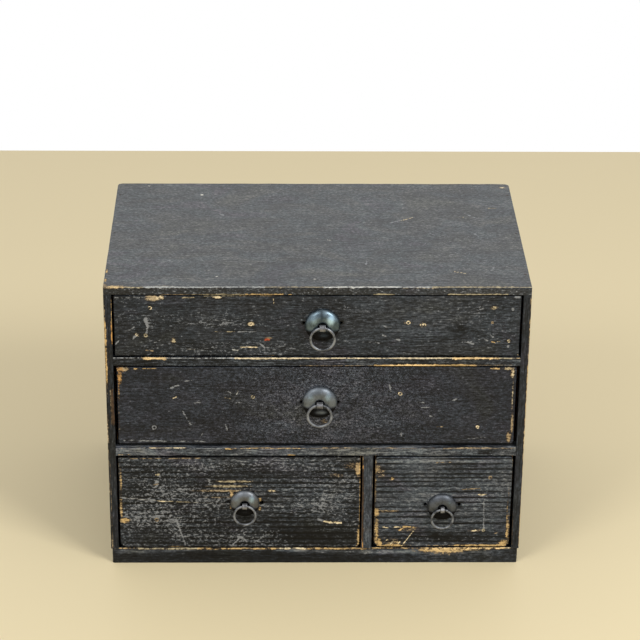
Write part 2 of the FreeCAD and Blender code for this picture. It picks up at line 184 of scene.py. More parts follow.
def drift(points, pitch, seed):
    """Smooth random values from -1 to 1 that change over about one pitch, one for each point."""
    cells = np.asarray(points) / np.asarray(pitch) + 17.31 * seed
    base = np.floor(cells).astype(np.int64)
    part = cells - base
    part = part * part * (3 - 2 * part)
    total = np.zeros(len(cells))
    for corner in itertools.product((0, 1), repeat=3):
        key = base + corner
        mixed = key[:, 0] * 73856093 ^ key[:, 1] * 19349663 ^ key[:, 2] * 83492791 ^ seed * 2971
        mixed = (mixed ^ (mixed >> 13)) * 1274126177 & 0x7FFFFFFF
        mixed = (mixed ^ (mixed >> 15)) * 668265263 & 0x7FFFFFFF
        weight = np.prod(np.where(corner, part, 1 - part), axis=1)
        total += weight * (mixed / 0x3FFFFFFF - 1)
    return total


def ease(value, low, high):
    """0 below low, 1 above high and smooth between."""
    share = np.clip((value - low) / (high - low), 0, 1)
    return share * share * (3 - 2 * share)


# Meshes


def shape(name, points, faces):
    """A mesh object."""
    mesh = bpy.data.meshes.new(name)
    mesh.from_pydata([tuple(point) for point in points], [], [tuple(face) for face in faces])
    mesh.validate()
    made = bpy.data.objects.new(name, mesh)
    bpy.context.scene.collection.objects.link(made)
    return made


def settle(made, body, replaced):
    """Makes a mesh object ride on a body and stand for nodes of the frame."""
    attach(made, body)
    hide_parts(*replaced)


# From how many degrees on an edge of a board, and of a piece of iron, is sharp
BOARD_SHARP = 38
METAL_SHARP = 50


def finish(mesh, look, sharp_angle):
    """Gives a mesh one material, and smooth shading except at its sharp edges."""
    mesh.materials.clear()
    mesh.materials.append(look)
    mesh.polygons.foreach_set("use_smooth", np.ones(len(mesh.polygons), bool))
    mesh.set_sharp_from_angle(angle=math.radians(sharp_angle))


def keep(mesh, name, values):
    """Stores one number for each point of a mesh, for its material to read."""
    layer = mesh.attributes.new(name, "FLOAT", "POINT")
    layer.data.foreach_set("value", np.asarray(values, np.float32))


def keep_colour(mesh, name, colours):
    """Stores one colour for each point of a mesh, for its material to read."""
    layer = mesh.attributes.new(name, "FLOAT_COLOR", "POINT")
    layer.data.foreach_set("color", np.asarray(colours, np.float32).ravel())


# Grid lines by an arris, the room that they leave in the middle of a thin board, and how many
# lines a plain side leaves out between two that it keeps
RIM_STEPS = (0.0, 0.25 * mm, 0.6 * mm, 1.1 * mm, 1.8 * mm, 2.7 * mm)
RIM_MARGIN = 0.3 * mm
PLAIN_STEP = 24
HOLE_SIDES = 28


def lattice(low, high, pitch):
    """Places along one axis: close together by both ends, where arrises wear, and even between."""
    rim = [step for step in RIM_STEPS if step < (high - low) / 2 - RIM_MARGIN]
    inner_low, inner_high = low + rim[-1], high - rim[-1]
    count = max(1, round((inner_high - inner_low) / pitch))
    between = np.linspace(inner_low, inner_high, count + 1)[1:-1]
    lower, upper = [low + step for step in rim], [high - step for step in rim[::-1]]
    return np.concatenate([lower, between, upper]), len(rim)


def sparse(count, rim):
    """The numbers of the lattice lines that a plain side keeps: those of the rims, and some between."""
    between = range(rim + PLAIN_STEP, count - rim - PLAIN_STEP // 2, PLAIN_STEP)
    return [*range(rim), *between, *range(count - rim, count)]


def cell_loop(numbers, i0, i1, j0, j1):
    """The corners round one cell of a plain side, with the points that its neighbours have there."""
    last_i, last_j = numbers.shape[0] - 1, numbers.shape[1] - 1
    near = range(i0, i1) if j0 == 0 else (i0,)
    right = range(j0, j1) if i1 == last_i else (j0,)
    far = range(i1, i0, -1) if j1 == last_j else (i1,)
    left = range(j1, j0, -1) if i0 == 0 else (j1,)
    loop = [numbers[i, j0] for i in near] + [numbers[i1, j] for j in right]
    return loop + [numbers[i, j1] for i in far] + [numbers[i0, j] for j in left]


def box_surface(low, high, pitch, plain):
    """Points and faces of a box with a grid on its sides, plain sides with a sparser one."""
    lines, rims = zip(*(lattice(low[a], high[a], pitch) for a in range(3)))
    grid = np.stack(np.meshgrid(*lines, indexing="ij"), -1)
    numbers = np.arange(grid[..., 0].size).reshape(grid.shape[:3])
    faces = []
    for axis in range(3):
        others = [a for a in range(3) if a != axis]
        for end in (0, -1):
            side = np.moveaxis(numbers, axis, 0)[end]
            if (axis, end) in plain:
                rows, columns = (sparse(len(lines[a]), rims[a]) for a in others)
                loops = [
                    cell_loop(side, *pair_i, *pair_j)
                    for pair_i in itertools.pairwise(rows)
                    for pair_j in itertools.pairwise(columns)
                ]
            else:
                corners = [side[:-1, :-1], side[1:, :-1], side[1:, 1:], side[:-1, 1:]]
                loops = np.stack(corners, -1).reshape(-1, 4).tolist()
            outward = (end == -1) != (axis == 1)
            faces.extend(loop if outward else loop[::-1] for loop in loops)
    used = sorted({number for loop in faces for number in loop})
    rank = {number: place for place, number in enumerate(used)}
    points = grid.reshape(-1, 3)[used]
    return points, [[rank[number] for number in loop] for loop in faces]


def oblong(left, right, bottom, top):
    """The outline of a square-cornered opening in x and z."""
    return ((left, bottom), (right, bottom), (right, top), (left, top))


def cutter(prisms, holes):
    """One mesh of straight-sided prisms and of round holes, all along Y, to be cut from a board."""
    tool = bmesh.new()
    for outline, near, far in prisms:
        end = tool.faces.new([tool.verts.new((x, near, z)) for x, z in outline])
        grown = bmesh.ops.extrude_face_region(tool, geom=[end])["geom"]
        moved = [part for part in grown if isinstance(part, bmesh.types.BMVert)]
        bmesh.ops.translate(tool, verts=moved, vec=(0, far - near, 0))
    bmesh.ops.recalc_face_normals(tool, faces=tool.faces)
    for centre, radius, depth in holes:
        matrix = Matrix.Translation(centre) @ Matrix.Rotation(math.pi / 2, 4, "X")
        bmesh.ops.create_cone(
            tool, cap_ends=True, segments=HOLE_SIDES, radius1=radius, radius2=radius, depth=depth,
            matrix=matrix,
        )
    mesh = bpy.data.meshes.new("cutter")
    tool.to_mesh(mesh)
    tool.free()
    made = bpy.data.objects.new("cutter", mesh)
    bpy.context.scene.collection.objects.link(made)
    return made


def cut(board, tool):
    """Takes the cutter's shape out of a board and removes the cutter."""
    modifier = board.modifiers.new("cut", "BOOLEAN")
    modifier.operation = "DIFFERENCE"
    modifier.solver = "EXACT"
    modifier.object = tool
    shown = board.evaluated_get(bpy.context.evaluated_depsgraph_get())
    mesh = bpy.data.meshes.new_from_object(shown)
    board.modifiers.clear()
    board.data = mesh
    bpy.data.objects.remove(tool)


# Worn boards

# How one edge of a board's outline is worn: the radius of its arrises, how far it has been rubbed
# back in places, and how bare of paint it is
Edge = namedtuple("Edge", "radius waste wear")
TIGHT = Edge(0.12 * mm, 0.0, 0.0)
SHARP = Edge(0.35 * mm, 0.12 * mm, 0.2)
SOFT = Edge(0.8 * mm, 0.35 * mm, 0.16)
WORN = Edge(0.7 * mm, 0.3 * mm, 0.36)
RUBBED = Edge(0.95 * mm, 0.45 * mm, 0.46)

# Damage has its place in pixels of the photograph, and its width or radius in millimetres. A Mark
# runs between two ends, a Nail is the ring round a nail head, a Rub is rubbed through to the wood
# in patches, and a Haze is an area where the paint is dusty, or lighter or darker.
Mark = namedtuple("Mark", "tint x0 y0 x1 y1 width")
Nail = namedtuple("Nail", "tint x y radius")
Rub = namedtuple("Rub", "tint x y half_x half_y strength")
Haze = namedtuple("Haze", "x y half_x half_y strength")


def tinted(kind, *groups):
    """Marks, nails or rubs from groups of rows, each group with its tint first, the uppermost last."""
    return [kind(tint, *row) for tint, *rows in groups for row in rows]


def areas(*rows):
    """Hazes from rows of numbers."""
    return [Haze(*row) for row in rows]



# The relief of a board: depth of its low waves, depth and spacing of its weathered grain lines
Relief = namedtuple("Relief", "waves lines spacing")
PLANED = Relief(0.12 * mm, 0.05 * mm, 5.0 * mm)
RIDGED = Relief(0.12 * mm, 0.34 * mm, 5.9 * mm)
SAWN = Relief(0.2 * mm, 0.15 * mm, 8.0 * mm)
FLAT = Relief(0.06 * mm, 0.06 * mm, 4.0 * mm)
SMOOTH = Relief(0.05 * mm, 0.05 * mm, 4.0 * mm)


# The numbers of a board's fields of random values, one field for each thing that varies
(
    ROUNDING, RUBBING, FINE_RUBBING, LINE_WANDER, LINE_DEPTH, WAVES, WEAR, FINE_WEAR, WOOD_TINT,
    MARK_WIDTH, NAIL_STRENGTH, DUST_LEVEL, BROKEN_DUST, MARK_STRENGTH,
) = (0, 1, 2, 3, 4, 5, 7, 8, 9, 10, 11, 12, 13, 14)


class Board:
    """A board as a worn slab: where its faces, outline and arrises are, and what its paint is like."""

    def __init__(
        self, low, high, through, seed, edges, corners=0.6 * mm, pitch=2.5 * mm, plain=(), grain=0,
        relief=PLANED, worn_ends=(1.0, 1.0),
    ):
        self.low, self.high, self.through, self.seed = np.array(low), np.array(high), through, seed
        self.u, self.v = [axis for axis in range(3) if axis != through]
        self.edges, self.pitch, self.plain, self.grain = edges, pitch, plain, grain
        self.corners = corners if isinstance(corners, tuple) else (corners,) * 4
        self.relief, self.worn_ends = relief, worn_ends

    def uneven(self, points, pitch, number):
        """Smooth random values over the board, other ones for each number."""
        return drift(points, pitch, self.seed + number)

    def end_share(self, points):
        """How far the arrises wear by the lower and by the upper face of the slab."""
        w = self.through
        share = (points[:, w] - self.low[w]) / (self.high[w] - self.low[w])
        return self.worn_ends[0] + (self.worn_ends[1] - self.worn_ends[0]) * ease(share, 0.3, 0.7)

    def edge_values(self, points, field):
        """A value of the edges, as each point takes it from the edges that lie near it."""
        total, weights = np.zeros(len(points)), np.zeros(len(points))
        for axis in (self.u, self.v):
            for end, limit in ((0, self.low), (-1, self.high)):
                away = np.abs(points[:, axis] - limit[axis])
                weight = 1 / (away + 0.4 * mm) ** 3
                total += weight * getattr(self.edges.get((axis, end), TIGHT), field)
                weights += weight
        return total / weights

    def outline(self, points):
        """How far each point lies within the rounded outline, and which way is out of it."""
        u, v = self.u, self.v
        gaps = np.stack([
            points[:, u] - self.low[u],
            self.high[u] - points[:, u],
            points[:, v] - self.low[v],
            self.high[v] - points[:, v],
        ])
        nearest = gaps.argmin(axis=0)
        inside = gaps.min(axis=0)
        out = np.zeros_like(points)
        out[:, u] = np.where(nearest == 0, -1, np.where(nearest == 1, 1, 0))
        out[:, v] = np.where(nearest == 2, -1, np.where(nearest == 3, 1, 0))
        ends = ((0, 2), (1, 2), (1, 3), (0, 3))
        for radius, (end_u, end_v) in zip(self.corners, ends):
            a, b = radius - gaps[end_u], radius - gaps[end_v]
            at = (a > 0) & (b > 0)
            reach, length = np.maximum(a, b)[at], np.hypot(a, b)[at]
            inside[at] = radius - reach
            for axis, depth, upper in ((u, a, end_u == 1), (v, b, end_v == 3)):
                sign, limit = (1, self.high[axis]) if upper else (-1, self.low[axis])
                out[at, axis] = depth[at] / length * sign
                points[at, axis] = limit - sign * (radius - depth[at] * (reach / length))
        return inside, out

    def line_depth(self, points):
        """0 on the ridges of the weathered grain and 1 at the bottom of its lines."""
        along = self.grain
        across = self.v if along == self.u else self.u
        stretch = np.full(3, 9 * mm)
        stretch[along] = 110 * mm
        wander = self.uneven(points, stretch * 1.8, LINE_WANDER) * 0.65
        phase = points[:, across] / self.relief.spacing + wander
        lines = np.exp(-((np.sin(np.pi * phase) / 0.42) ** 2))
        stretch[along] = 45 * mm
        return lines * np.clip(0.55 + 0.7 * self.uneven(points, stretch, LINE_DEPTH), 0, 1)

    def wear_down(self, points):
        """Rounds the corners and arrises, rubs the edges back and lets the faces sink in places."""
        w = self.through
        rest = points.copy()
        inside, out = self.outline(points)
        facing = (np.abs(rest[:, w] - self.low[w]), np.abs(self.high[w] - rest[:, w]))
        radius = self.edge_values(rest, "radius") * (1 + 0.55 * self.uneven(rest, 14 * mm, ROUNDING))
        radius = TIGHT.radius + (radius - TIGHT.radius) * self.end_share(rest)
        rubbed_and_highlit = 0.5 + 0.5 * self.uneven(rest, 22 * mm, RUBBING)
        rubbed_and_highlit = rubbed_and_highlit**2 + 0.25 * (1 + self.uneven(rest, 4 * mm, FINE_RUBBING))
        rubbed_and_highlit = self.edge_values(rest, "waste") * rubbed_and_highlit
        points -= out * (rubbed_and_highlit * np.exp(-inside / (3 * mm)))[:, None]
        for sign, depth in ((1, facing[0]), (-1, facing[1])):
            a, b = radius - inside, radius - depth
            at = (a > 0) & (b > 0)
            shrink = np.maximum(a, b)[at] / np.hypot(a, b)[at]
            points[at] -= out[at] * (a[at] * (1 - shrink))[:, None]
            points[at, w] += sign * b[at] * (1 - shrink)
            relief = self.relief.waves * (0.5 + 0.5 * self.uneven(rest, 45 * mm, WAVES))
            relief += self.relief.lines * self.line_depth(rest)
            on_face = depth < 0.001 * mm
            points[:, w] += sign * np.where(on_face, relief * ease(inside, 0, 1.6 * mm), 0)
        return rest, np.hypot(inside, np.minimum(*facing))


def spread(points, start, end):
    """How far each point lies from the line between two places."""
    start, end = np.array(start), np.array(end)
    line = end - start
    share = np.clip(((points - start) @ line) / max(line @ line, 1e-12), 0, 1)
    return np.linalg.norm(points - start - share[:, None] * line, axis=1)


def mark_reach(mark, points, sight, ragged):
    """How far each point lies from a mark, as a share of half its width."""
    start, end = at_pixel(mark.x0, mark.y0, *sight), at_pixel(mark.x1, mark.y1, *sight)
    return spread(points, start, end) / (mark.width * mm / 2 * ragged)


def nail_reach(nail, points, sight):
    """How far each point lies from the middle of a nail, in millimetres."""
    return np.linalg.norm(points - np.array(at_pixel(nail.x, nail.y, *sight)), axis=1) / mm


def area_reach(area, points, sight):
    """How far each point lies from the middle of an area of the photograph, as a share of its size."""
    on_front = sight[0] == 1
    centre = at_pixel(area.x, area.y, *sight)
    beside = at_pixel(area.x + area.half_x, area.y, *sight)
    below = at_pixel(area.x, area.y + area.half_y, *sight)
    upright = 2 if on_front else 1
    reach = np.full(3, 5 * mm if on_front else 1.2 * mm)
    reach[0] = abs(beside.x - centre.x)
    reach[upright] = abs(below[upright] - centre[upright])
    return np.linalg.norm((points - np.array(centre)) / reach, axis=1)


def damage(board, points, arris, sight, marks, nails=(), rubs=()):
    """How bare each point is and in which tint, from the arrises and the damage near it."""
    wear = board.edge_values(points, "wear") * np.exp(-((arris / (1.5 * mm)) ** 2))
    wear *= board.end_share(points)
    uneven = 0.75 * board.uneven(points, 26 * mm, WEAR)
    wear *= 1 + uneven + 0.35 * board.uneven(points, 6 * mm, FINE_WEAR)
    blend = ease(board.uneven(points, 30 * mm, WOOD_TINT), -0.3, 0.5)[:, None]
    tint = np.array(TINTS["gold"]) * (1 - blend) + np.array(TINTS["cream"]) * blend
    for area in rubs:
        strength = area.strength * np.exp(-(area_reach(area, points, sight) ** 2) * 0.5)
        mixed = np.array(TINTS[area.tint]) * 0.75 + tint * 0.25
        tint = np.where((strength > 0.15)[:, None], mixed, tint)
        wear = np.maximum(wear, strength)
    ragged = 1 + 0.3 * board.uneven(points, 3 * mm, MARK_WIDTH)
    for mark in marks:
        if mark.tint in TINTS:
            away = mark_reach(mark, points, sight, ragged)
            strength = min(1.05, 0.6 + 0.14 * mark.width) * np.exp(-(away**2) * 0.7)
            strength *= 0.9 + 0.35 * board.uneven(points, 2.4 * mm, MARK_STRENGTH)
            tint = np.where((strength > 0.2)[:, None], np.array(TINTS[mark.tint]), tint)
            wear = np.maximum(wear, strength)
    for nail in nails:
        if nail.tint in TINTS:
            away = nail_reach(nail, points, sight)
            strength = 0.92 * np.exp(-(((away - nail.radius * 0.9) / 0.75) ** 2))
            strength *= 0.95 + 0.35 * board.uneven(points, 1.5 * mm, NAIL_STRENGTH)
            near = away < nail.radius + 1.2
            tint = np.where(near[:, None], np.array(TINTS[nail.tint]), tint)
            wear = np.where(near, np.maximum(strength, 0), wear)
    return wear, tint


def haze_over(board, points, sight, level, hazes, marks=(), nails=()):
    """How dusty and scuffed the paint is at each point."""
    stretch = np.full(3, 16 * mm)
    stretch[board.grain] = 60 * mm
    haze = level * (1 + 0.7 * board.uneven(points, stretch, DUST_LEVEL))
    broken = 1 + 0.5 * board.uneven(points, 5 * mm, BROKEN_DUST)
    for area in hazes:
        haze = haze + area.strength * np.exp(-(area_reach(area, points, sight) ** 2)) * broken
    for mark in marks:
        if mark.tint in SCUFFS:
            away = mark_reach(mark, points, sight, 1.5)
            haze = np.maximum(haze, SCUFFS[mark.tint] * np.exp(-(away**2)) * broken)
    for nail in nails:
        if nail.tint in SCUFFS:
            away = nail_reach(nail, points, sight)
            ring = SCUFFS[nail.tint] * np.exp(-(((away - nail.radius) / 0.8) ** 2))
            haze = np.where(away < nail.radius, ring, np.maximum(haze, ring))
    return haze


def make_board(
    node, board, look, painted, name=None, body="carcass", prisms=(), holes=(),
    sight=(1, FRONT_PLANE), marks=(), nails=(), rubs=(), dust=0.2, hazes=(), shade=0.5, shades=(),
    front_marks=(), front_shade=(0.5, 0.5), front_dust=0.0,
):
    """Builds a worn board in place of a node, with its cuts, its wear, its paint and its material."""
    surface = box_surface(board.low, board.high, board.pitch, board.plain)
    made = shape(name or "worn_" + node, *surface)
    if prisms or holes:
        cut(made, cutter(prisms, holes))
    mesh = made.data
    points = np.zeros(len(mesh.vertices) * 3)
    mesh.vertices.foreach_get("co", points)
    points = points.reshape(-1, 3)
    rest, arris = board.wear_down(points)
    mesh.vertices.foreach_set("co", points.ravel())
    wear, tint = damage(board, rest, arris, sight, marks, nails, rubs)
    haze = haze_over(board, rest, sight, dust, hazes, marks, nails)
    shade = haze_over(board, rest, sight, 0, shades) + shade
    if front_marks:
        more, other = damage(board, rest, arris, (1, FRONT_PLANE), front_marks)
        tint = np.where((more > wear)[:, None], other, tint)
        wear = np.maximum(wear, more)
        on_front = np.abs(rest[:, 1] - board.low[1]) < 0.01 * mm
        level = np.interp(rest[:, 0], (board.low[0], board.high[0]), front_shade)
        shade, haze = np.where(on_front, level, shade), np.where(on_front, front_dust, haze)
        keep(mesh, "front", on_front)
    # Painted shade: black inside the old screw holes and darker round their rims
    for centre, radius, _ in holes:
        away = np.hypot(rest[:, 0] - centre.x, rest[:, 2] - centre.z)
        deep = (away < radius + 0.1 * mm) & (rest[:, 1] > board.low[1] + 0.1 * mm)
        shade = np.where(deep, -0.5, shade - 0.3 * np.exp(-(((away - radius) / mm) ** 2)))
        wear, haze = np.where(deep, 0, wear), np.where(deep, 0, haze)
    keep(mesh, "wear", np.clip(wear, 0, 1.2))
    keep(mesh, "haze", np.clip(haze, 0, 1))
    keep(mesh, "shade", shade)
    keep(mesh, "paint", painted(rest))
    keep(mesh, "line", board.line_depth(rest) * board.relief.lines / RIDGED.lines)
    keep_colour(mesh, "tint", tint)
    finish(mesh, look, BOARD_SHARP)
    mesh.update()
    settle(made, body, [node])


# Materials


class Graph:
    """The nodes of one material, added from the places on the surface towards its shader."""

    def __init__(self, name, shift=0.0):
        self.shift = shift
        self.material = bpy.data.materials.new(name)
        self.material.use_nodes = True
        self.tree = self.material.node_tree
        self.shader = self.tree.nodes["Principled BSDF"]
        self.places = self.add("ShaderNodeTexCoord").outputs["Object"]

    def feed(self, socket, value):
        """Links an input to an output, or sets it to a value."""
        if isinstance(value, bpy.types.NodeSocket):
            self.tree.links.new(value, socket)
        else:
            socket.default_value = value

    def add(self, kind, inputs=None, **settings):
        """A node with its inputs and its settings."""
        node = self.tree.nodes.new(kind)
        for name, value in settings.items():
            setattr(node, name, value)
        for name, value in (inputs or {}).items():
            self.feed(node.inputs[name], value)
        return node

    def set(self, **inputs):
        """Feeds the shader's own inputs."""
        for name, value in inputs.items():
            self.feed(self.shader.inputs[name.replace("_", " ")], value)

    def calc(self, operation, a, b=0.0):
        """One step of arithmetic."""
        return self.add("ShaderNodeMath", {0: a, 1: b}, operation=operation).outputs[0]

    def plus(self, *values):
        """The sum of two or more values."""
        total = values[0]
        for value in values[1:]:
            total = self.calc("ADD", total, value)
        return total

    def times(self, a, b):
        """The product of two values."""
        return self.calc("MULTIPLY", a, b)

    def swing(self, value, size):
        """A texture's value, moved to lie around 0, times a size."""
        return self.times(self.calc("SUBTRACT", value, 0.5), size)

    def step(self, value, low, high, start=0.0, end=1.0):
        """From start to end, smoothly, as a value goes from low to high."""
        node = self.add(
            "ShaderNodeMapRange",
            {"Value": value, "From Min": low, "From Max": high, "To Min": start, "To Max": end},
            interpolation_type="SMOOTHSTEP",
        )
        return node.outputs["Result"]

    def ramp(self, value, stops):
        """A colour picked from a row of colours by a value."""
        node = self.add("ShaderNodeValToRGB", {0: value})
        row = node.color_ramp.elements
        while len(row) < len(stops):
            row.new(0.5)
        for element, (place, colour) in zip(row, stops):
            element.position = place
            element.color = colour
        return node.outputs[0]

    def mix(self, share, a, b, blend="MIX"):
        """A colour with a share of another mixed in."""
        node = self.add("ShaderNodeMix", {0: share}, data_type="RGBA", blend_type=blend)
        self.feed(node.inputs[6], a)
        self.feed(node.inputs[7], b)
        return node.outputs[2]

    def noise(self, pitch, detail=3.0, roughness=0.55, along=None, stretch=1.0, warp=0.0):
        """Noise whose patches are about one pitch wide, and longer along the grain."""
        scale = [1 / pitch] * 3
        if along is not None:
            scale[along] /= stretch
        moves = {"Vector": self.places, "Location": (self.shift,) * 3, "Scale": scale}
        spot = self.add("ShaderNodeMapping", moves).outputs[0]
        inputs = {
            "Vector": spot, "Scale": 1.0, "Detail": detail, "Roughness": roughness, "Distortion": warp,
        }
        return self.add("ShaderNodeTexNoise", inputs).outputs["Fac"]

    def stored(self, name, output="Fac"):
        """A value that the mesh keeps for its points."""
        return self.add("ShaderNodeAttribute", attribute_name=name).outputs[output]

    def bump(self, height_mm):
        """Surface relief from a height in millimetres."""
        node = self.add("ShaderNodeBump", {"Strength": 1.0, "Distance": mm, "Height": height_mm})
        self.feed(self.shader.inputs["Normal"], node.outputs[0])


def wood_colour(graph, along, dark, light):
    """Aged softwood: growth rings drawn out along the grain, fine pores and blotches."""
    rings = graph.noise(9 * mm, 2.0, 0.5, along, 26.0, 0.5)
    bands = graph.calc("SINE", graph.times(rings, 60.0))
    pores = graph.noise(0.55 * mm, 3.0, 0.6, along, 34.0)
    fibres = graph.noise(1.6 * mm, 4.0, 0.65, along, 24.0)
    blotches = graph.noise(38 * mm, 3.0, 0.6, along, 2.0)
    share = graph.plus(
        graph.times(bands, 0.16), graph.swing(pores, 1.2), graph.swing(fibres, 1.1),
        graph.swing(blotches, 0.6), 0.5,
    )
    return graph.mix(graph.step(share, 0.0, 1.0), dark, light), bands, pores


def painted_wood(
    name, along, contrast, reach, specular=0.2, sheen=0.42, streaks=0.9, grooves=0.5, flecks=1.0,
    clusters=0.0, casts=CASTS, front_casts=None, leathery=False,
):
    """Old black paint over wood, with dust, scuffs and bare places where it has been rubbed."""
    graph = Graph(name)
    streak = graph.noise(0.9 * mm, 4.0, 0.65, along, 22.0)
    grain = graph.noise(1.5 * mm, 4.0, 0.62, along, reach)
    speck = graph.noise(2.1 * mm, 4.0, 0.66, along, 1.5, 0.5)
    fine = graph.noise(0.7 * mm, 3.0, 0.6)
    clouds = graph.noise(24 * mm, 4.0, 0.6, along, 2.5)
    line = graph.stored("line")
    wood, bands, pores = wood_colour(graph, along, *WOOD_UNDER_PAINT)

    tone = graph.plus(
        graph.stored("shade"),
        graph.swing(grain, 1.1 * contrast),
        graph.swing(speck, 0.8 * contrast),
        graph.swing(streak, streaks * contrast),
        graph.swing(fine, 0.6 * contrast),
        graph.swing(clouds, 0.5 * contrast),
        graph.times(line, -grooves),
    )
    if leathery:
        ends = {0: graph.places, 1: at_pixel(*LEATHERY_CENTRE, 1, FACE_PLANE)}
        away = graph.add("ShaderNodeVectorMath", ends, operation="DISTANCE").outputs["Value"]
        near = graph.step(away, 40 * mm, 160 * mm, 1.0, 0.2)
        wrinkle = graph.noise(2.3 * mm, 1.5, 0.5, warp=1.2)
        fold = graph.calc("ABSOLUTE", graph.calc("SUBTRACT", wrinkle, 0.5))
        folds = graph.times(graph.step(fold, 0.0, 0.09, 0.5, -0.5), near)
        tone = graph.plus(tone, graph.times(folds, 0.42))
    paint = graph.ramp(tone, SHADES)
    regions = graph.noise(46 * mm, 4.0, 0.6, along, 1.6, 0.8)
    cast = graph.ramp(regions, casts)
    if front_casts:
        cast = graph.mix(graph.stored("front"), cast, graph.ramp(regions, front_casts))
    paint = graph.mix(1.0, paint, cast, "MULTIPLY")

    dusty = graph.plus(
        graph.stored("haze"),
        graph.swing(grain, 1.1),
        graph.swing(speck, 1.7 * flecks),
        graph.swing(fine, 0.8 * flecks),
        graph.swing(clouds, clusters),
        graph.times(line, -0.3),
    )
    dusty = graph.step(dusty, 0.48, 0.78)
    paint = graph.mix(graph.times(dusty, 0.8), paint, DUST)

    worn = graph.stored("wear")
    broken = graph.plus(graph.swing(grain, 0.9), graph.swing(speck, 1.0), graph.swing(fine, 0.9))
    broken = graph.times(broken, graph.plus(graph.times(worn, 0.8), 0.4))
    rub = graph.plus(worn, broken, graph.times(line, -0.2))
    bare = graph.step(rub, 0.44, 0.68)
    brown = graph.step(rub, 0.34, 0.46)
    grained = graph.plus(pores, graph.swing(streak, 0.9), graph.swing(speck, 1.3))
    grained = graph.step(grained, 0.15, 0.75, 0.42, 1.14)
    grained = graph.add("ShaderNodeCombineColor", {0: grained, 1: grained, 2: grained}).outputs[0]
    grained = graph.mix(1.0, graph.stored("tint", "Color"), grained, "MULTIPLY")
    paint = graph.mix(graph.times(brown, 0.5), paint, UNDERCOAT)
    paint = graph.mix(bare, paint, grained)

    covered = graph.plus(graph.stored("paint"), graph.swing(streak, 0.5), graph.swing(clouds, 0.4))
    covered = graph.step(covered, 0.44, 0.56)
    colour = graph.mix(covered, wood, paint)
    dull = graph.plus(sheen, graph.swing(fine, 0.25), graph.swing(clouds, 0.2), graph.times(dusty, 0.2))
    matt = graph.calc("MAXIMUM", bare, graph.calc("SUBTRACT", 1.0, covered))
    rough = graph.plus(dull, graph.times(matt, 0.36))
    graph.set(Base_Color=colour, Roughness=rough, Specular_IOR_Level=specular)

    height = graph.plus(
        graph.times(streak, 0.1),
        graph.times(grain, 0.08),
        graph.times(fine, 0.035),
        graph.times(bare, -0.09),
        graph.times(bands, 0.01),
    )
    if leathery:
        height = graph.plus(height, graph.times(folds, 0.16))
    graph.bump(height)
    return graph.material


def bare_wood(name, along, colours, rough=0.72, shift=0.0, painted_shade_to=None):
    """Planed softwood that was never painted, brown with age, and painted black as shade up to a depth."""
    graph = Graph(name, shift)
    colour, bands, pores = wood_colour(graph, along, *colours)
    stain = graph.noise(70 * mm, 5.0, 0.7, along, 2.4)
    colour = graph.mix(graph.step(stain, 0.5, 0.8, 0.0, 0.4), colour, WOOD_STAIN)
    spots = graph.noise(4.5 * mm, 2.0, 0.5, along, 1.8)
    colour = graph.mix(graph.step(spots, 0.7, 0.78, 0.0, 0.6), colour, WOOD_SPOT)
    # Painted shade: black towards the front, up to a ragged depth
    if painted_shade_to is not None:
        depth = graph.add("ShaderNodeSeparateXYZ", {0: graph.places}).outputs["Y"]
        edge = graph.plus(depth, graph.swing(spots, 8 * mm))
        black = graph.step(edge, painted_shade_to - 5 * mm, painted_shade_to + 5 * mm, 1.0, 0.0)
        colour = graph.mix(black, colour, SHADE_BLACK)
    dull = graph.plus(rough, graph.swing(pores, 0.2))
    graph.set(Base_Color=colour, Roughness=dull, Specular_IOR_Level=0.35)
    graph.bump(graph.plus(graph.times(pores, 0.14), graph.times(bands, 0.03)))
    return graph.material


def iron(name, dark, light, rust, rough, polish):
    """Old iron: dark where it is untouched, lighter where it has been handled, with brown stains, painted
    highlights and painted shade.
    """
    graph = Graph(name)
    patches = graph.noise(7 * mm, 4.0, 0.55)
    grit = graph.noise(0.9 * mm, 3.0, 0.6)
    worn = graph.step(graph.plus(patches, graph.swing(grit, 0.5)), 0.3, 0.7)
    colour = graph.mix(worn, dark, light)
    stain = graph.noise(3.6 * mm, 4.0, 0.65, warp=0.4)
    colour = graph.mix(graph.step(stain, 0.55, 0.75, 0.0, 0.5), colour, rust)
    # Painted highlight where the mesh asks for one
    rubbed_and_highlit = graph.step(graph.plus(graph.stored("rub"), graph.swing(grit, 0.4)), 0.1, 1.0)
    colour = graph.mix(rubbed_and_highlit, colour, HIGHLIGHT_STEEL)
    # Painted shade: black and less metallic where the mesh asks for shade
    painted_shade = graph.step(graph.plus(graph.stored("painted_shade"), graph.swing(grit, 0.5)), 0.15, 0.85)
    colour = graph.mix(painted_shade, colour, SHADE_BLACK)
    metal = graph.plus(polish, graph.times(painted_shade, -polish))
    graph.set(
        Base_Color=colour,
        Metallic=metal,
        Specular_IOR_Level=0.1,
        Roughness=graph.plus(rough, graph.swing(patches, 0.3), graph.times(painted_shade, 0.35)),
    )
    graph.bump(graph.plus(graph.times(patches, 0.1), graph.times(grit, 0.03)))
    return graph.material


def nail_iron():
    """Nail heads, dark with rust and traces of paint."""
    graph = Graph("nail_iron")
    patches = graph.noise(1.1 * mm, 3.0)
    colour = graph.mix(graph.step(patches, 0.42, 0.6), NAIL_DARK, NAIL_RUST)
    graph.set(Base_Color=colour, Metallic=0.25, Roughness=graph.plus(0.55, graph.swing(patches, 0.3)))
    graph.bump(graph.times(patches, 0.2))
    return graph.material


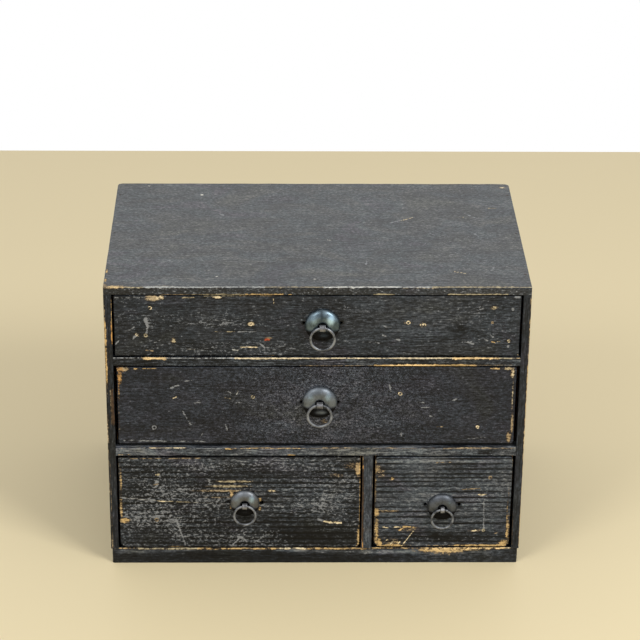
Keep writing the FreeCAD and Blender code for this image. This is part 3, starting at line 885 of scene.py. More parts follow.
# The middle of the wrinkled paint of the middle drawer, in pixels
LEATHERY_CENTRE = (330, 410)
ACROSS_PAINT = painted_wood("black_paint_across", 0, 0.85, 4.0)
ALONG_PAINT = painted_wood("black_paint_along", 1, 0.6, 6.0)
UPRIGHT_PAINT = painted_wood("black_paint_upright", 2, 0.85, 7.0, streaks=0.7)
STREAKED_PAINT = painted_wood("black_paint_streaked", 0, 1.5, 12.0)
TOP_PAINT = painted_wood(
    "black_paint_top", 0, 1.0, 1.9, specular=0.36, sheen=0.4, streaks=0.75, casts=TOP_CASTS,
    front_casts=CASTS,
)
LEATHERY_PAINT = painted_wood(
    "black_paint_leathery", 0, 0.8, 3.0, sheen=0.4, streaks=0.6, casts=COOL_CASTS, leathery=True
)
RIDGED_PAINT = painted_wood(
    "black_paint_ridged", 0, 1.3, 2.8, streaks=0.75, grooves=0.8, flecks=1.45, clusters=1.0
)
BANDED_PAINT = painted_wood(
    "black_paint_banded", 0, 1.0, 3.6, streaks=0.6, grooves=0.8, flecks=1.1, clusters=0.7
)
BARE_ACROSS = bare_wood("bare_wood_across", 0, OLD_WOOD)
# The drawer bottoms are painted black by the front, as shade under the fronts
BARE_BOTTOM = bare_wood("bare_wood_bottom", 0, OLD_WOOD, painted_shade_to=FACE_PLANE + 14 * mm)
BARE_ALONG = bare_wood("bare_wood_along", 1, SIDE_WOOD)
BARE_BACKS = {
    "back_board_lower": bare_wood("bare_wood_back", 0, LOWER_BACK_WOOD, 0.8),
    "back_board_upper": bare_wood("bare_wood_back_upper", 0, UPPER_BACK_WOOD, 0.8, 7.0),
}
NAIL_IRON = nail_iron()

# The boards, and where each is painted: 1 on paint and 0 on bare wood


def everywhere(points):
    """Paint all over."""
    return np.ones(len(points))


def nowhere(points):
    """No paint."""
    return np.zeros(len(points))


def front_strip(points):
    """Paint on a front edge and a ragged strip behind it."""
    return 1 - ease(points[:, 1] - FRONT_PLANE, 13 * mm, 22 * mm)


def face_strip(points):
    """Paint on the face of a drawer's front and a ragged strip of its edges."""
    return 1 - ease(points[:, 1] - FACE_PLANE, 5 * mm, 9 * mm)


def side_paint(inner):
    """Paint on a side's outer face and a ragged strip inside by the front."""
    def painted(points):
        strip = 1 - ease(points[:, 1] - FRONT_PLANE, 11 * mm, 19 * mm)
        return np.where(np.abs(points[:, 0] - inner) < 0.5 * mm, strip, 1.0)
    return painted


def base_paint(points):
    """Paint on the edges of the bottom board and on a strip of its faces by the front."""
    on_face = (points[:, 2] > BASE[1].z - 0.5 * mm) | (points[:, 2] < BASE[0].z + 0.2 * mm)
    return np.where(on_face, front_strip(points), 1.0)


def top_board():
    """The top, with its worn front edge and the marks on its face."""
    board = Board(
        *TOP, 2, 11, edges={(0, 0): SHARP, (0, -1): SHARP, (1, 0): WORN, (1, -1): WORN},
        corners=(1.2 * mm, 1.2 * mm, 6.0 * mm, 6.0 * mm), pitch=1.5 * mm, plain={(2, 0)},
        worn_ends=(0.4, 1.0),
    )
    marks = tinted(
        Mark,
        ("khaki", (126, 287.2, 145, 287.2, 2.2)),
        ("chalk", (145, 287.1, 181, 287.1, 2.8), (181, 287.1, 267, 287.0, 2.6)),
        ("khaki", (267, 287.0, 325, 287.1, 2.6)),
        ("white", (325, 287.1, 400, 287.1, 2.8)),
        ("chalk", (400, 287.1, 434, 287.1, 2.4), (208.8, 270, 210, 270, 2.4)),
        ("khaki", (434, 287.1, 500, 287.2, 2.9), (500, 287.2, 531, 287.3, 2.2),
         (453, 217.5, 464, 217.3, 1.6), (488, 208.3, 496, 208.2, 2.0)),
        ("white", (201, 194.8, 202.4, 194.8, 2.8), (328, 239.8, 331, 240.2, 2.6),
         (217, 276.3, 217.8, 276.3, 2.6), (314.4, 279, 315.2, 279, 2.6), (148.5, 185.6, 150.5, 186, 2.4)),
        ("pale", (195, 194.4, 200, 194.6, 1.4), (166.5, 260.6, 169.5, 260.4, 2.0),
         (220.6, 214.2, 223, 215, 2.0), (389.5, 223, 414.5, 217, 1.3), (464, 213.6, 479, 219, 1.4),
         (429, 232.4, 435, 235, 1.6), (474, 233.4, 478, 235.6, 1.8), (491, 270.6, 494, 267.2, 1.6),
         (366.2, 260.6, 366, 264.5, 1.8)),
        ("cream", (401, 220.6, 414.5, 217, 1.7), (454.5, 271.6, 468, 274, 1.8),
         (500, 187.6, 505, 187.8, 2.6)),
        ("gold", (107, 270, 106.6, 273, 2.2), (105.6, 279, 105.2, 281, 2.2)),
    )
    front_marks = tinted(
        Mark,
        ("tan", (160, 294.7, 192, 294.7, 1.1)),
        ("khaki", (192, 294.7, 246, 294.7, 1.7), (374, 294.6, 394, 294.6, 2.0),
         (448, 294.5, 508, 294.5, 1.6)),
        ("gold", (246, 294.7, 283, 294.7, 2.2), (288, 294.7, 292, 294.7, 1.4)),
    )
    rubs = tinted(
        Rub,
        ("gold", (113, 286.8, 12, 1.0, 0.9)),
        ("tan", (104.5, 286, 2.4, 3, 0.7)),
        ("khaki", (164, 286.8, 22, 0.9, 0.8)),
        ("cream", (340, 287.4, 70, 0.5, 0.5)),
        ("khaki", (480, 286.6, 50, 0.7, 0.56)),
    )
    hazes = areas(
        (460, 240, 50, 14, 0.16), (450, 256, 24, 5, 0.14), (180, 262, 40, 10, 0.14),
        (300, 278, 60, 5, 0.16), (278, 194, 12, 6, 0.14), (224, 215, 7, 6, 0.12),
        (490, 233, 5, 4, 0.16), (400, 205, 10, 5, 0.12),
    )
    # The top's paint is set light: partly its own dusty grey, partly a painted sheen standing in for the
    # light its face reflects; its front face is set darker
    make_board(
        "top_board", board, TOP_PAINT, everywhere, name="worn_top", sight=(2, TOP_PLANE), marks=marks,
        hazes=hazes, rubs=rubs, dust=0.14, shade=0.64,
        front_marks=front_marks, front_shade=(0.36, 0.45), front_dust=0.34,
    )


def sides():
    """Both sides, rebated for the back boards."""
    back_low, back_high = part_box("back_board_lower")[0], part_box("back_board_upper")[1]
    rebate = oblong(back_low.x, back_high.x, back_low.z - mm, back_high.z + mm)
    left_marks = tinted(
        Mark,
        ("orange", (111.6, 322, 112.4, 344, 2.3)),
        ("gold", (111.2, 298, 111.6, 322, 1.3)),
        ("brown", (111.5, 390, 113.5, 425, 3.0)),
        ("tan", (103.9, 300, 104.7, 322, 1.2)),
        ("gold", (104.7, 322, 107.1, 384, 2.1)),
        ("tan", (107.1, 384, 112.9, 548, 0.7)),
    )
    right_marks = tinted(
        Mark,
        ("gold", (531, 300, 528, 366, 0.6), (528, 366, 525.4, 425, 1.8), (525.4, 425, 519, 540, 1.0)),
        ("brown", (513.5, 470, 512, 545, 1.0)),
    )
    for name, box, inner, worn_ends, marks, seed, shade in (
        ("left_side", LEFT, LEFT[1].x, (1.0, 0.2), left_marks, 21, 0.36),
        ("right_side", RIGHT, RIGHT[0].x, (0.2, 1.0), right_marks, 22, 0.42),
    ):
        board = Board(
            *box, 0, seed, edges={(1, 0): WORN, (1, -1): SHARP}, corners=0.3 * mm, grain=2,
            worn_ends=worn_ends,
        )
        make_board(
            name, board, UPRIGHT_PAINT, side_paint(inner), marks=marks, dust=0.1, shade=shade,
            prisms=[(rebate, back_low.y, back_high.y + mm)],
        )


def shelves():
    """Both shelves and the upright, painted at their front edges only."""
    upper = tinted(
        Mark,
        ("chalk", (113, 358, 145, 358.2, 1.3)),
        ("amber", (145, 358.2, 167, 358.2, 3.4)),
        ("chalk", (167, 358.2, 235, 358.2, 1.3)),
        ("cream", (235, 358.2, 330, 358.2, 2.4), (330, 358.2, 395, 358, 2.2), (395, 358, 455, 358, 2.8)),
        ("amber", (455, 358, 501, 357.8, 3.4)),
        ("khaki", (501, 357.8, 513, 357.8, 2.8)),
        ("gold", (374, 365.7, 392, 365.6, 2.2)),
        ("amber", (392, 365.6, 436, 365.5, 2.8)),
        ("gold", (436, 365.5, 476, 365.4, 2.2)),
        ("tan", (300, 366.0, 374, 365.7, 0.9), (476, 365.3, 515, 365, 0.9)),
    )
    lower = tinted(
        Mark,
        ("grey", (116, 448.8, 225, 448.6, 0.9)),
        ("gold", (225, 448.5, 300, 448.4, 1.1)),
        ("tan", (300, 448.4, 440, 448.3, 0.6), (443, 448.5, 512, 448.4, 1.4)),
        ("gold", (117, 454.8, 130, 454.8, 1.2), (288, 455, 296, 455.2, 1.6), (226, 449, 232, 449.4, 1.6)),
    )
    for name, box, marks, seed, dust, shade in (
        ("upper_shelf", SHELF_1, upper, 31, 0.1, 0.43), ("lower_shelf", SHELF_2, lower, 32, 0.2, 0.68)
    ):
        low = Vector((LEFT[1].x, box[0].y, box[0].z))
        high = Vector((RIGHT[0].x, box[1].y, box[1].z))
        board = Board(
            low, high, 2, seed, edges={(1, 0): RUBBED}, corners=0.2 * mm, pitch=2.0 * mm,
            plain={(1, -1)}, relief=FLAT, worn_ends=(0.25, 1.0),
        )
        make_board(name, board, STREAKED_PAINT, front_strip, marks=marks, dust=dust, shade=shade)
    low = Vector((UPRIGHT[0].x, UPRIGHT[0].y, BASE[1].z))
    high = Vector((UPRIGHT[1].x, UPRIGHT[1].y, SHELF_2[0].z))
    board = Board(low, high, 0, 33, edges={(1, 0): WORN}, corners=0.2 * mm, pitch=2.0 * mm, grain=2)
    marks = tinted(
        Mark, ("orange", (363.2, 461, 362.4, 548, 1.3)), ("brown", (363, 470, 362.4, 540, 2.2))
    )
    make_board("partition", board, UPRIGHT_PAINT, front_strip, marks=marks, dust=0.12, shade=0.55)


def base():
    """The bottom board and its plinth."""
    board = Board(
        *BASE, 2, 41, edges={(0, 0): WORN, (0, -1): WORN, (1, 0): RUBBED, (1, -1): SHARP},
        corners=2.4 * mm, pitch=2.0 * mm, plain={(2, 0)}, relief=FLAT, worn_ends=(0.0, 1.0),
    )
    marks = tinted(
        Mark,
        ("tan", (116, 549.2, 138, 549.2, 1.4)),
        ("khaki", (138, 549.2, 200, 549.0, 3.2)),
        ("gold", (200, 549.0, 281, 549.0, 3.0)),
        ("cream", (281, 549.0, 308, 549.0, 3.4)),
        ("gold", (308, 549.0, 366, 549.0, 3.0), (374, 548.8, 426, 548.8, 2.4)),
        ("amber", (426, 548.8, 505, 548.8, 3.0)),
    )
    rubs = tinted(
        Rub,
        ("gold", (442, 551.0, 24, 2.2, 0.8)),
        ("cream", (466, 550.6, 22, 1.4, 0.62)),
        ("gold", (444, 553.4, 20, 3.0, 0.52)),
        ("khaki", (200, 550.2, 90, 0.6, 0.5), (330, 550, 60, 0.6, 0.5)),
    )
    shades = areas(
        (135, 551.6, 34, 2.6, 0.5), (186, 551, 24, 1.4, 0.4), (250, 551, 46, 1.1, 0.32),
        (292, 550.6, 12, 1.6, 0.5), (318, 551.6, 26, 2.2, 0.5), (372, 552.4, 22, 2.8, 0.46),
        (408, 551.8, 26, 2.8, 0.42), (440, 554, 30, 4.0, 0.3), (490, 552, 24, 1.8, 0.24),
        (480, 556, 60, 8, 0.18),
    )
    make_board(
        "bottom_board", board, ACROSS_PAINT, base_paint, marks=marks, rubs=rubs, shades=shades,
        hazes=areas((160, 552, 60, 2.4, 0.3), (300, 552, 70, 1.6, 0.24), (375, 552.5, 30, 2.6, 0.3)),
        dust=0.05, shade=0.24,
    )
    rounded, square = 2.4 * mm, 0.2 * mm
    ends = {(0, 0): WORN, (0, -1): WORN}
    for name, edges, corners, grain, look, seed in (
        ("front", {(1, 0): WORN, **ends}, (rounded, rounded, square, square), 0, ACROSS_PAINT, 42),
        ("back", {(1, -1): WORN, **ends}, (square, square, rounded, rounded), 0, ACROSS_PAINT, 43),
        ("left", {(0, 0): WORN}, square, 1, ALONG_PAINT, 44),
        ("right", {(0, -1): WORN}, square, 1, ALONG_PAINT, 45),
    ):
        strip = Board(
            *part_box("plinth_" + name), 2, seed, edges=edges, corners=corners, grain=grain,
            relief=SMOOTH, worn_ends=(0.5, 0.0),
        )
        make_board(
            "plinth_" + name, strip, look, everywhere, dust=0.04, shade=0.27,
            shades=areas((470, 560, 70, 8, 0.2)),
        )


def backs():
    """The two back boards, never painted, the lower one without its lap."""
    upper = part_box("back_board_upper")
    for name, top, seed in (
        ("back_board_lower", upper[0].z, 51), ("back_board_upper", upper[1].z, 52)
    ):
        low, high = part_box(name)
        board = Board(
            low, Vector((high.x, high.y, top)), 1, seed, corners=0.3 * mm, pitch=4.0 * mm, relief=SAWN,
            edges={(2, 0): SOFT, (2, -1): SOFT, (0, 0): SHARP, (0, -1): SHARP},
        )
        make_board(name, board, BARE_BACKS[name], nowhere, name="sawn_" + name)


# The drawer fronts

SLOT_HEIGHT = 2.7 * mm
FRONT_PITCH = 0.78 * mm
# What sets each front apart: its paint, the wear of its side and lower edges, its relief, its
# corners' radii, its old screw holes' radius, spacing and height over the pull, all in
# millimetres, then how light and how dusty its paint is, and the damage to it. The shades are
# areas painted lighter or darker; on the two lower fronts a light strip along the top edge is a
# painted highlight.
Front = namedtuple(
    "Front",
    "look edge relief corners hole_radius hole_spacing hole_rise shade dust marks rubs nails hazes shades",
)
FRONTS = {
    "top_drawer": Front(
        ACROSS_PAINT, SOFT, PLANED, (1.2, 1.2, 1.2, 1.2), 1.4, 37.0, 2.3, shade=0.44, dust=0.24,
        marks=tinted(
            Mark,
            ("pale", (145.6, 319, 147.6, 326, 2.9), (147.6, 326, 146.5, 333, 2.2),
             (238, 331.8, 256, 331.8, 1.0), (260.5, 343.5, 264.6, 347.8, 1.2),
             (154.6, 342, 160, 340.4, 1.5), (133, 339, 137, 334, 1.5), (116, 344, 118.6, 341, 1.6),
             (484, 339, 487.6, 340.6, 1.2), (490.5, 335, 493, 337, 1.2),
             (516, 296.6, 520.6, 297.4, 1.8), (397, 339.4, 399, 339.8, 2.0)),
            ("grey", (115, 297.6, 146, 297.4, 1.3), (128, 331, 134, 327, 1.4),
             (369, 342, 382, 343.6, 1.4), (385, 326.6, 391, 327.4, 2.0), (383, 335.4, 386, 336.4, 1.6),
             (462, 341, 474, 344, 1.8)),
            ("brown", (250.6, 324, 251, 324, 1.1)),
            ("khaki", (204, 295.8, 240, 295.6, 1.0), (182, 297.6, 194, 297.6, 1.4),
             (214, 331.8, 236, 331.8, 1.0)),
            ("gold", (240, 295.6, 278, 295.4, 1.1), (451, 294.4, 507, 294, 1.0),
             (265, 356.2, 273, 356, 1.5), (492, 341.8, 495, 342.4, 1.6), (425, 357.6, 515, 357, 0.8)),
            ("cream", (240, 347.2, 257, 347.4, 1.5), (273.4, 299, 274, 304, 1.6),
             (497, 341.4, 500, 341.8, 1.5), (519, 356, 517, 353.6, 1.6)),
            ("chalk", (187, 349.2, 195, 349.4, 1.4), (233, 350, 238, 350.2, 1.7)),
            ("red", (265.6, 339.8, 268.6, 339.6, 3.2)),
            ("tan", (146, 350.6, 153, 351, 1.8), (266, 337.6, 272, 338, 1.4)),
        ),
        rubs=tinted(
            Rub,
            ("tan", (152.4, 298.2, 6, 2.6, 0.95), (452, 356.6, 60, 0.8, 0.4)),
            ("cream", (161, 297.4, 2.6, 2.2, 0.86), (217, 297.2, 4, 1.4, 0.8),
             (250.8, 324, 2.8, 1.5, 1.3), (137.0, 334.4, 2.6, 1.8, 0.8), (408, 323, 5, 1.6, 0.6),
             (423, 325, 2.4, 1.5, 1.2)),
            ("khaki", (173.4, 340.6, 2.4, 2.6, 0.74), (494, 308, 4, 2.0, 0.62)),
        ),
        nails=tinted(
            Nail,
            ("cream", (149.8, 307.8, 1.7), (136.8, 334.6, 1.2), (408.3, 322.8, 1.8), (423, 325, 0.7),
             (508.8, 340.9, 1.3)),
            ("khaki", (145.7, 335.4, 1.6)),
            ("tan", (492.4, 322.6, 1.0)),
            ("pale", (173.3, 340.4, 1.2), (513, 309.4, 1.0), (508, 346.4, 0.6)),
            ("grey", (481.5, 307.8, 1.7)),
        ),
        hazes=areas(
            (216, 324, 30, 4, 0.3), (212, 316, 34, 5, 0.15), (210, 346, 70, 6, 0.08),
            (148, 326, 5, 9, 0.16), (488, 330, 22, 18, 0.06), (466, 341, 16, 3, 0.16),
            (360, 310, 40, 6, 0.08), (400, 335, 90, 16, 0.04),
        ),
        shades=areas((150, 326, 40, 30, -0.04), (461, 330, 7, 7, -0.3), (420, 320, 90, 30, 0.11)),
    ),
    "middle_drawer": Front(
        LEATHERY_PAINT, SOFT, PLANED, (2.6, 3.4, 2.6, 1.2), 1.4, 37.0, -0.2, shade=0.46, dust=0.12,
        marks=tinted(
            Mark,
            ("gold", (134, 368.8, 138, 368.8, 1.8), (143, 368.6, 156, 368.6, 1.4)),
            ("cream", (173, 398.4, 176, 397.2, 1.9)),
            ("chalk", (236.6, 394.2, 238.4, 390.6, 1.6)),
            ("khaki", (225, 397.8, 230, 398.6, 1.4)),
            ("tan", (437, 426.8, 443, 426.6, 1.5)),
            ("pale", (171, 388, 178, 385.2, 1.6), (228.6, 391.6, 232.6, 394.4, 1.7),
             (189.6, 423, 191.4, 424.6, 1.9), (389.6, 385.6, 391, 391.4, 1.6),
             (417.6, 402.2, 423.6, 402.4, 1.6), (430, 416, 432, 416.6, 1.4),
             (452, 400.6, 457, 399, 1.3)),
            ("grey", (186, 381, 192, 380.4, 1.4), (194, 403, 200, 402.4, 1.6),
             (236, 402.6, 244, 402.6, 1.2), (182.6, 411, 189.6, 423, 1.3), (224.6, 423, 227.4, 430, 1.3),
             (200, 438, 203.4, 431.6, 1.3), (417.6, 407.6, 430, 407.6, 1.3), (464, 439, 486, 437.6, 1.3),
             (401, 431, 401.6, 436, 1.5), (124, 440.6, 205, 441.6, 1.4)),
        ),
        rubs=tinted(
            Rub,
            ("tan", (122.4, 369.2, 6, 2.2, 0.8)),
            ("orange", (119.6, 377, 2.4, 7, 0.72), (118.8, 392, 1.0, 12, 0.6)),
            ("gold", (496, 368.4, 6, 1.2, 0.7)),
            ("khaki", (509, 368.4, 4.6, 1.4, 0.8)),
            ("tan", (119, 420, 0.9, 22, 0.46), (512.6, 373, 1.8, 4.6, 0.8)),
            ("cream", (512.6, 396, 0.9, 22, 0.55)),
            ("tan", (512, 424, 1.2, 10, 0.8), (508.6, 437, 2.4, 5, 0.8), (324, 421.4, 4, 2.4, 0.6)),
        ),
        nails=tinted(
            Nail,
            ("khaki", (252.9, 397, 1.7)),
            ("pale", (154.2, 427.5, 1.9)),
            ("cream", (400.2, 393.8, 1.8), (477.6, 427, 1.4)),
        ),
        hazes=areas(
            (320, 410, 80, 30, 0.06), (230, 395, 14, 8, 0.14), (176, 390, 10, 8, 0.1),
            (455, 398, 22, 14, -0.1),
        ),
        shades=areas((160, 410, 50, 30, -0.05), (325, 408, 90, 40, 0.12), (460, 400, 30, 20, -0.04)),
    ),
    "bottom_left_drawer": Front(
        RIDGED_PAINT, WORN, RIDGED, (7.0, 4.0, 3.0, 2.6), 2.0, 34.4, 0.6, shade=0.46, dust=0.27,
        marks=tinted(
            Mark,
            ("tan", (130, 458.6, 200, 458.2, 1.3), (154, 485, 158, 484, 1.8),
             (155, 520.6, 158, 519.4, 2.0)),
            ("chalk", (125, 497.8, 155, 500.8, 1.0)),
            ("khaki", (155, 500.8, 191, 502.4, 1.3)),
            ("chalk", (191, 502.4, 230, 504, 0.9)),
            ("cream", (155.6, 475, 159, 474.4, 2.0), (161, 501.2, 164, 501.4, 1.8),
             (324, 521.6, 340.6, 522.8, 2.8)),
            ("gold", (360.2, 462, 359.6, 540, 0.8)),
            ("pale", (154, 488, 158, 484.6, 1.4), (209.2, 479.6, 209, 485, 1.8),
             (120, 497.3, 156, 500.7, 1.3), (176.6, 520.6, 185.4, 544, 1.3),
             (318, 519.4, 326, 521.4, 2.0), (233, 545, 244, 533, 1.5), (236, 535, 248, 542, 1.4)),
            ("grey", (191, 502.4, 230, 504, 1.4), (248, 504.6, 322, 508.2, 1.2),
             (166, 520.6, 178, 521.4, 1.4), (124, 478, 140, 477.6, 1.3)),
        ),
        rubs=tinted(
            Rub,
            ("khaki", (234, 481.6, 22, 1.5, 0.66), (229, 486.4, 20, 1.5, 0.74)),
            ("tan", (222, 491, 34, 1.6, 0.6), (218, 497.4, 20, 1.4, 0.5)),
            ("gold", (120.6, 480, 1.4, 14, 0.6), (121, 508, 1.8, 14, 0.66), (124.4, 520.4, 5, 2.4, 0.85),
             (358, 468.6, 2.6, 6, 0.95)),
            ("tan", (352, 466, 9, 5, 0.5)),
            ("gold", (360.2, 500, 0.9, 40, 0.6), (358.6, 538, 1.6, 10, 0.85), (232, 495, 2.4, 4, 0.7),
             (231.4, 507, 1.8, 2.4, 0.7), (260, 500, 1.4, 2.4, 0.8), (259.8, 508.6, 1.4, 2.0, 0.8)),
            ("cream", (272, 491, 6, 1.4, 0.6)),
            ("tan", (337, 475.4, 9, 2.6, 0.54)),
        ),
        nails=tinted(Nail, ("tan", (156.6, 519.8, 1.8)), ("khaki", (158, 474.8, 1.0))),
        hazes=areas(
            (215, 486, 60, 8, 0.16), (180, 482, 44, 12, 0.14), (160, 508, 34, 10, 0.1),
            (240, 538, 50, 6, 0.12), (160, 532, 26, 10, 0.06), (300, 500, 50, 20, 0.08),
            (160, 470, 40, 8, -0.06), (320, 530, 30, 6, 0.06),
        ),
        # The first shade is a painted highlight along the top edge
        shades=areas(
            (250, 461.6, 120, 2.4, 0.26), (305, 498, 50, 26, 0.17), (300, 536, 60, 6, -0.26),
            (150, 468, 30, 6, -0.08),
        ),
    ),
    "bottom_right_drawer": Front(
        BANDED_PAINT, WORN, RIDGED, (7.0, 6.0, 3.4, 4.0), 1.7, 34.4, 2.5, shade=0.63, dust=0.2,
        marks=tinted(
            Mark,
            ("cream", (394.4, 527, 400.6, 527.4, 2.0)),
            ("gold", (399, 530.4, 407, 526, 1.6), (403, 526.4, 416.4, 527.4, 1.6)),
            ("cream", (383, 527, 388, 528, 1.8), (402, 545.6, 413.4, 531, 1.2),
             (396, 546.6, 400, 541.6, 1.1), (390, 545, 394, 540, 1.1), (384, 543, 388, 538.6, 1.1),
             (472, 530.6, 476.4, 530.8, 1.8), (478.6, 494.8, 486, 494.6, 1.8)),
            ("tan", (495, 533.6, 498, 532.4, 1.3), (462, 489.6, 480, 488.4, 1.5),
             (436, 462.6, 452, 462.2, 1.2)),
            ("grey", (484, 500, 483.6, 530, 1.2)),
            ("gold", (384, 545.6, 400, 545.6, 1.9)),
            ("tan", (428, 545.6, 455, 545.5, 1.3)),
            ("gold", (455, 545.5, 504, 545.3, 2.3), (375.6, 508, 376.4, 540, 1.8),
             (507.4, 500, 506.8, 538, 1.0)),
        ),
        rubs=tinted(
            Rub,
            ("gold", (376.6, 469, 4.4, 4, 0.72)),
            ("tan", (381, 473, 7, 8, 0.48)),
            ("gold", (375.6, 490, 1.2, 14, 0.5), (376.4, 512, 3, 4, 0.78)),
            ("tan", (388, 511.4, 13, 1.6, 0.62)),
            ("gold", (376.2, 530, 2.6, 16, 0.64), (378, 543.4, 4, 5, 0.78), (394, 546, 16, 2.0, 0.7)),
            ("tan", (408, 529, 15, 4, 0.5)),
            ("gold", (392, 542, 12, 5, 0.5), (504, 544, 6, 3.6, 0.76), (507.4, 528, 1.8, 14, 0.66),
             (484, 546, 22, 1.4, 0.7)),
            ("tan", (508.6, 500, 0.9, 22, 0.46), (476, 530.6, 10, 2, 0.5)),
            ("cream", (392, 478.6, 2.4, 1.8, 0.9)),
        ),
        nails=tinted(
            Nail,
            ("gold", (392.2, 478.6, 1.2)),
            ("tan", (490.3, 477.6, 1.6)),
            ("khaki", (483.4, 530.4, 1.4)),
            ("grey", (463, 471, 1.8)),
        ),
        hazes=areas((440, 500, 60, 20, 0.08), (420, 540, 40, 4, 0.08), (484, 505, 10, 26, 0.1)),
        # The first shade is a painted highlight along the top edge
        shades=areas((440, 461.0, 70, 2.6, 0.26), (440, 497, 60, 26, 0.1), (445, 537, 60, 6, -0.36)),
    ),
}


def drawer_front(name, seed):
    """A drawer's front, worn, with its old screw holes and the slot for the split pin."""
    node, front = name + "_front", FRONTS[name]
    low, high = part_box(node)
    board = Board(
        low, high, 1, seed, corners=tuple(radius * mm for radius in front.corners), pitch=FRONT_PITCH,
        edges={(0, 0): front.edge, (0, -1): front.edge, (2, 0): front.edge, (2, -1): SOFT},
        plain={(1, -1)}, relief=front.relief,
    )
    eye_low, eye_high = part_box(name + "_eye")
    middle = (eye_low + eye_high) / 2
    slot = oblong(eye_low.x, eye_high.x, middle.z - SLOT_HEIGHT / 2, middle.z + SLOT_HEIGHT / 2)
    left, right, bottom = (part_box(name + part) for part in ("_left_side", "_right_side", "_bottom"))
    rebate = (
        (low.x - mm, low.z - mm), (high.x + mm, low.z - mm), (high.x + mm, high.z + mm),
        (right[0].x, high.z + mm), (right[0].x, bottom[1].z), (left[1].x, bottom[1].z),
        (left[1].x, high.z + mm), (low.x - mm, high.z + mm),
    )
    prisms = [(slot, low.y - mm, high.y + mm), (rebate, left[0].y, high.y + mm)]
    holes = []
    for sign in (-1, 1):
        centre = Vector((middle.x + sign * front.hole_spacing / 2 * mm, (low.y + high.y) / 2, middle.z))
        centre.z += front.hole_rise * mm
        holes.append((centre, front.hole_radius * mm, high.y - low.y + 2 * mm))
    make_board(
        node, board, front.look, face_strip, body=name, prisms=prisms, holes=holes,
        sight=(1, FACE_PLANE), marks=front.marks, nails=front.nails, rubs=front.rubs,
        hazes=front.hazes, shades=front.shades, dust=front.dust, shade=front.shade,
    )


# Ring pulls

TURN_STEPS = 96
WIRE_STEPS = 20
DOME_STEPS = 14
INNER_STEPS = 6
LOOP_STEPS = 26
# A rosette's profile in millimetres: the rim from the radius and the front, the lip and the throat
# of the hole from the hole's radius and the crown's height, and the throat's end inside the dome
ROSETTE_RIM = ((-0.9, 0.25), (-0.4, 0.05), (0.0, 0.12))
ROSETTE_LIP = ((0.5, -0.06), (0.12, -0.3))
ROSETTE_THROAT = ((0.0, -0.8), (-0.35, -1.6), (-1.0, -3.0))
THROAT_END = ((-1.25, 0.6), (-0.4, 0.5))
CROWN_SHARE = 0.44
CROWN_DISH = 0.02 * mm
DOME_FOOT = 0.3 * mm
# How full the dome is outwards and upwards, where 1 is a quarter of an ellipse
DOME_OUT, DOME_UP = 0.86, 1.12
# How far the inside of the dome is from its outside: at the foot, at the crown and by the hole
INNER_WALL, INNER_ROOF, THROAT_ROOF = 1.6 * mm, 1.4 * mm, 2.2 * mm
HOLE_GAP = 1.65 * mm
STRIP_THICKNESS = 1.2 * mm
STRIP_GAP = 0.3 * mm
# A split pin's leg in millimetres: its bend from the back and the leg's height, and its neck from
# the end of the loop
PIN_END = 0.2 * mm
PIN_BEND = ((0.0, 3.0), (-0.1, 1.2), (-0.5, 0.35), (-1.3, 0.0))
PIN_NECK = ((1.5, 0.0), (0.5, 0.12))
# The slices of its strip from edge to edge: place over the half width, and thickness
STRIP_SLICES = (
    (-1.0, 0.5), (-0.95, 0.82), (-0.84, 1.0), (-0.3, 1.03), (0.3, 1.03), (0.84, 1.0), (0.95, 0.82),
    (1.0, 0.5),
)
# A soft patch on a rosette in shares of its radius: its middle and its reach, across and upwards
Patch = namedtuple("Patch", "x z wide high")
# Painted light: a glint on the dome's lower half, and highlights on its upper left and right
GLINT = Patch(0.08, -0.52, 0.34, 0.14)
HIGHLIGHT_LEFT = Patch(-0.5, 0.4, 0.24, 0.3)
HIGHLIGHT_RIGHT = Patch(0.46, 0.42, 0.22, 0.3)
# The iron of each pull: its colours, the painted highlights on its dome left and right, its roughness, the
# width of its pin over the solid one, and the painted glint and the painted dark band on its dome
Pull = namedtuple("Pull", "dark light rust polish rough narrow glint crease")
PULLS = {
    "top_drawer": Pull(
        srgb(70, 83, 91), srgb(103, 118, 127), srgb(76, 68, 65), (0.45, 1.0), 0.32, 1.0, 0.3, 0.5
    ),
    "middle_drawer": Pull(
        srgb(90, 95, 100), srgb(118, 125, 132), srgb(90, 88, 86), (0.35, 0.45), 0.44, 1.0, 0.65, 0.22
    ),
    "bottom_left_drawer": Pull(
        srgb(92, 93, 94), srgb(112, 117, 123), srgb(92, 76, 62), (0.3, 0.6), 0.4, 0.8, 0.15, 0.3
    ),
    "bottom_right_drawer": Pull(
        srgb(70, 73, 77), srgb(94, 98, 104), srgb(66, 62, 60), (0.05, 0.25), 0.44, 0.62, 0.0, 0.1
    ),
}


def in_patch(patch, across, up):
    """1 in the middle of a soft patch, and 0 away from it."""
    return np.exp(-(((across - patch.x) / patch.wide) ** 2) - ((up - patch.z) / patch.high) ** 2)


def ring_faces(rows, count):
    """The faces of a closed ring of rows, each itself a ring of so many points."""
    return [
        (a * count + b, a * count + (b + 1) % count, (a + 1) % rows * count + (b + 1) % count,
         (a + 1) % rows * count + b)
        for a in range(rows) for b in range(count)
    ]


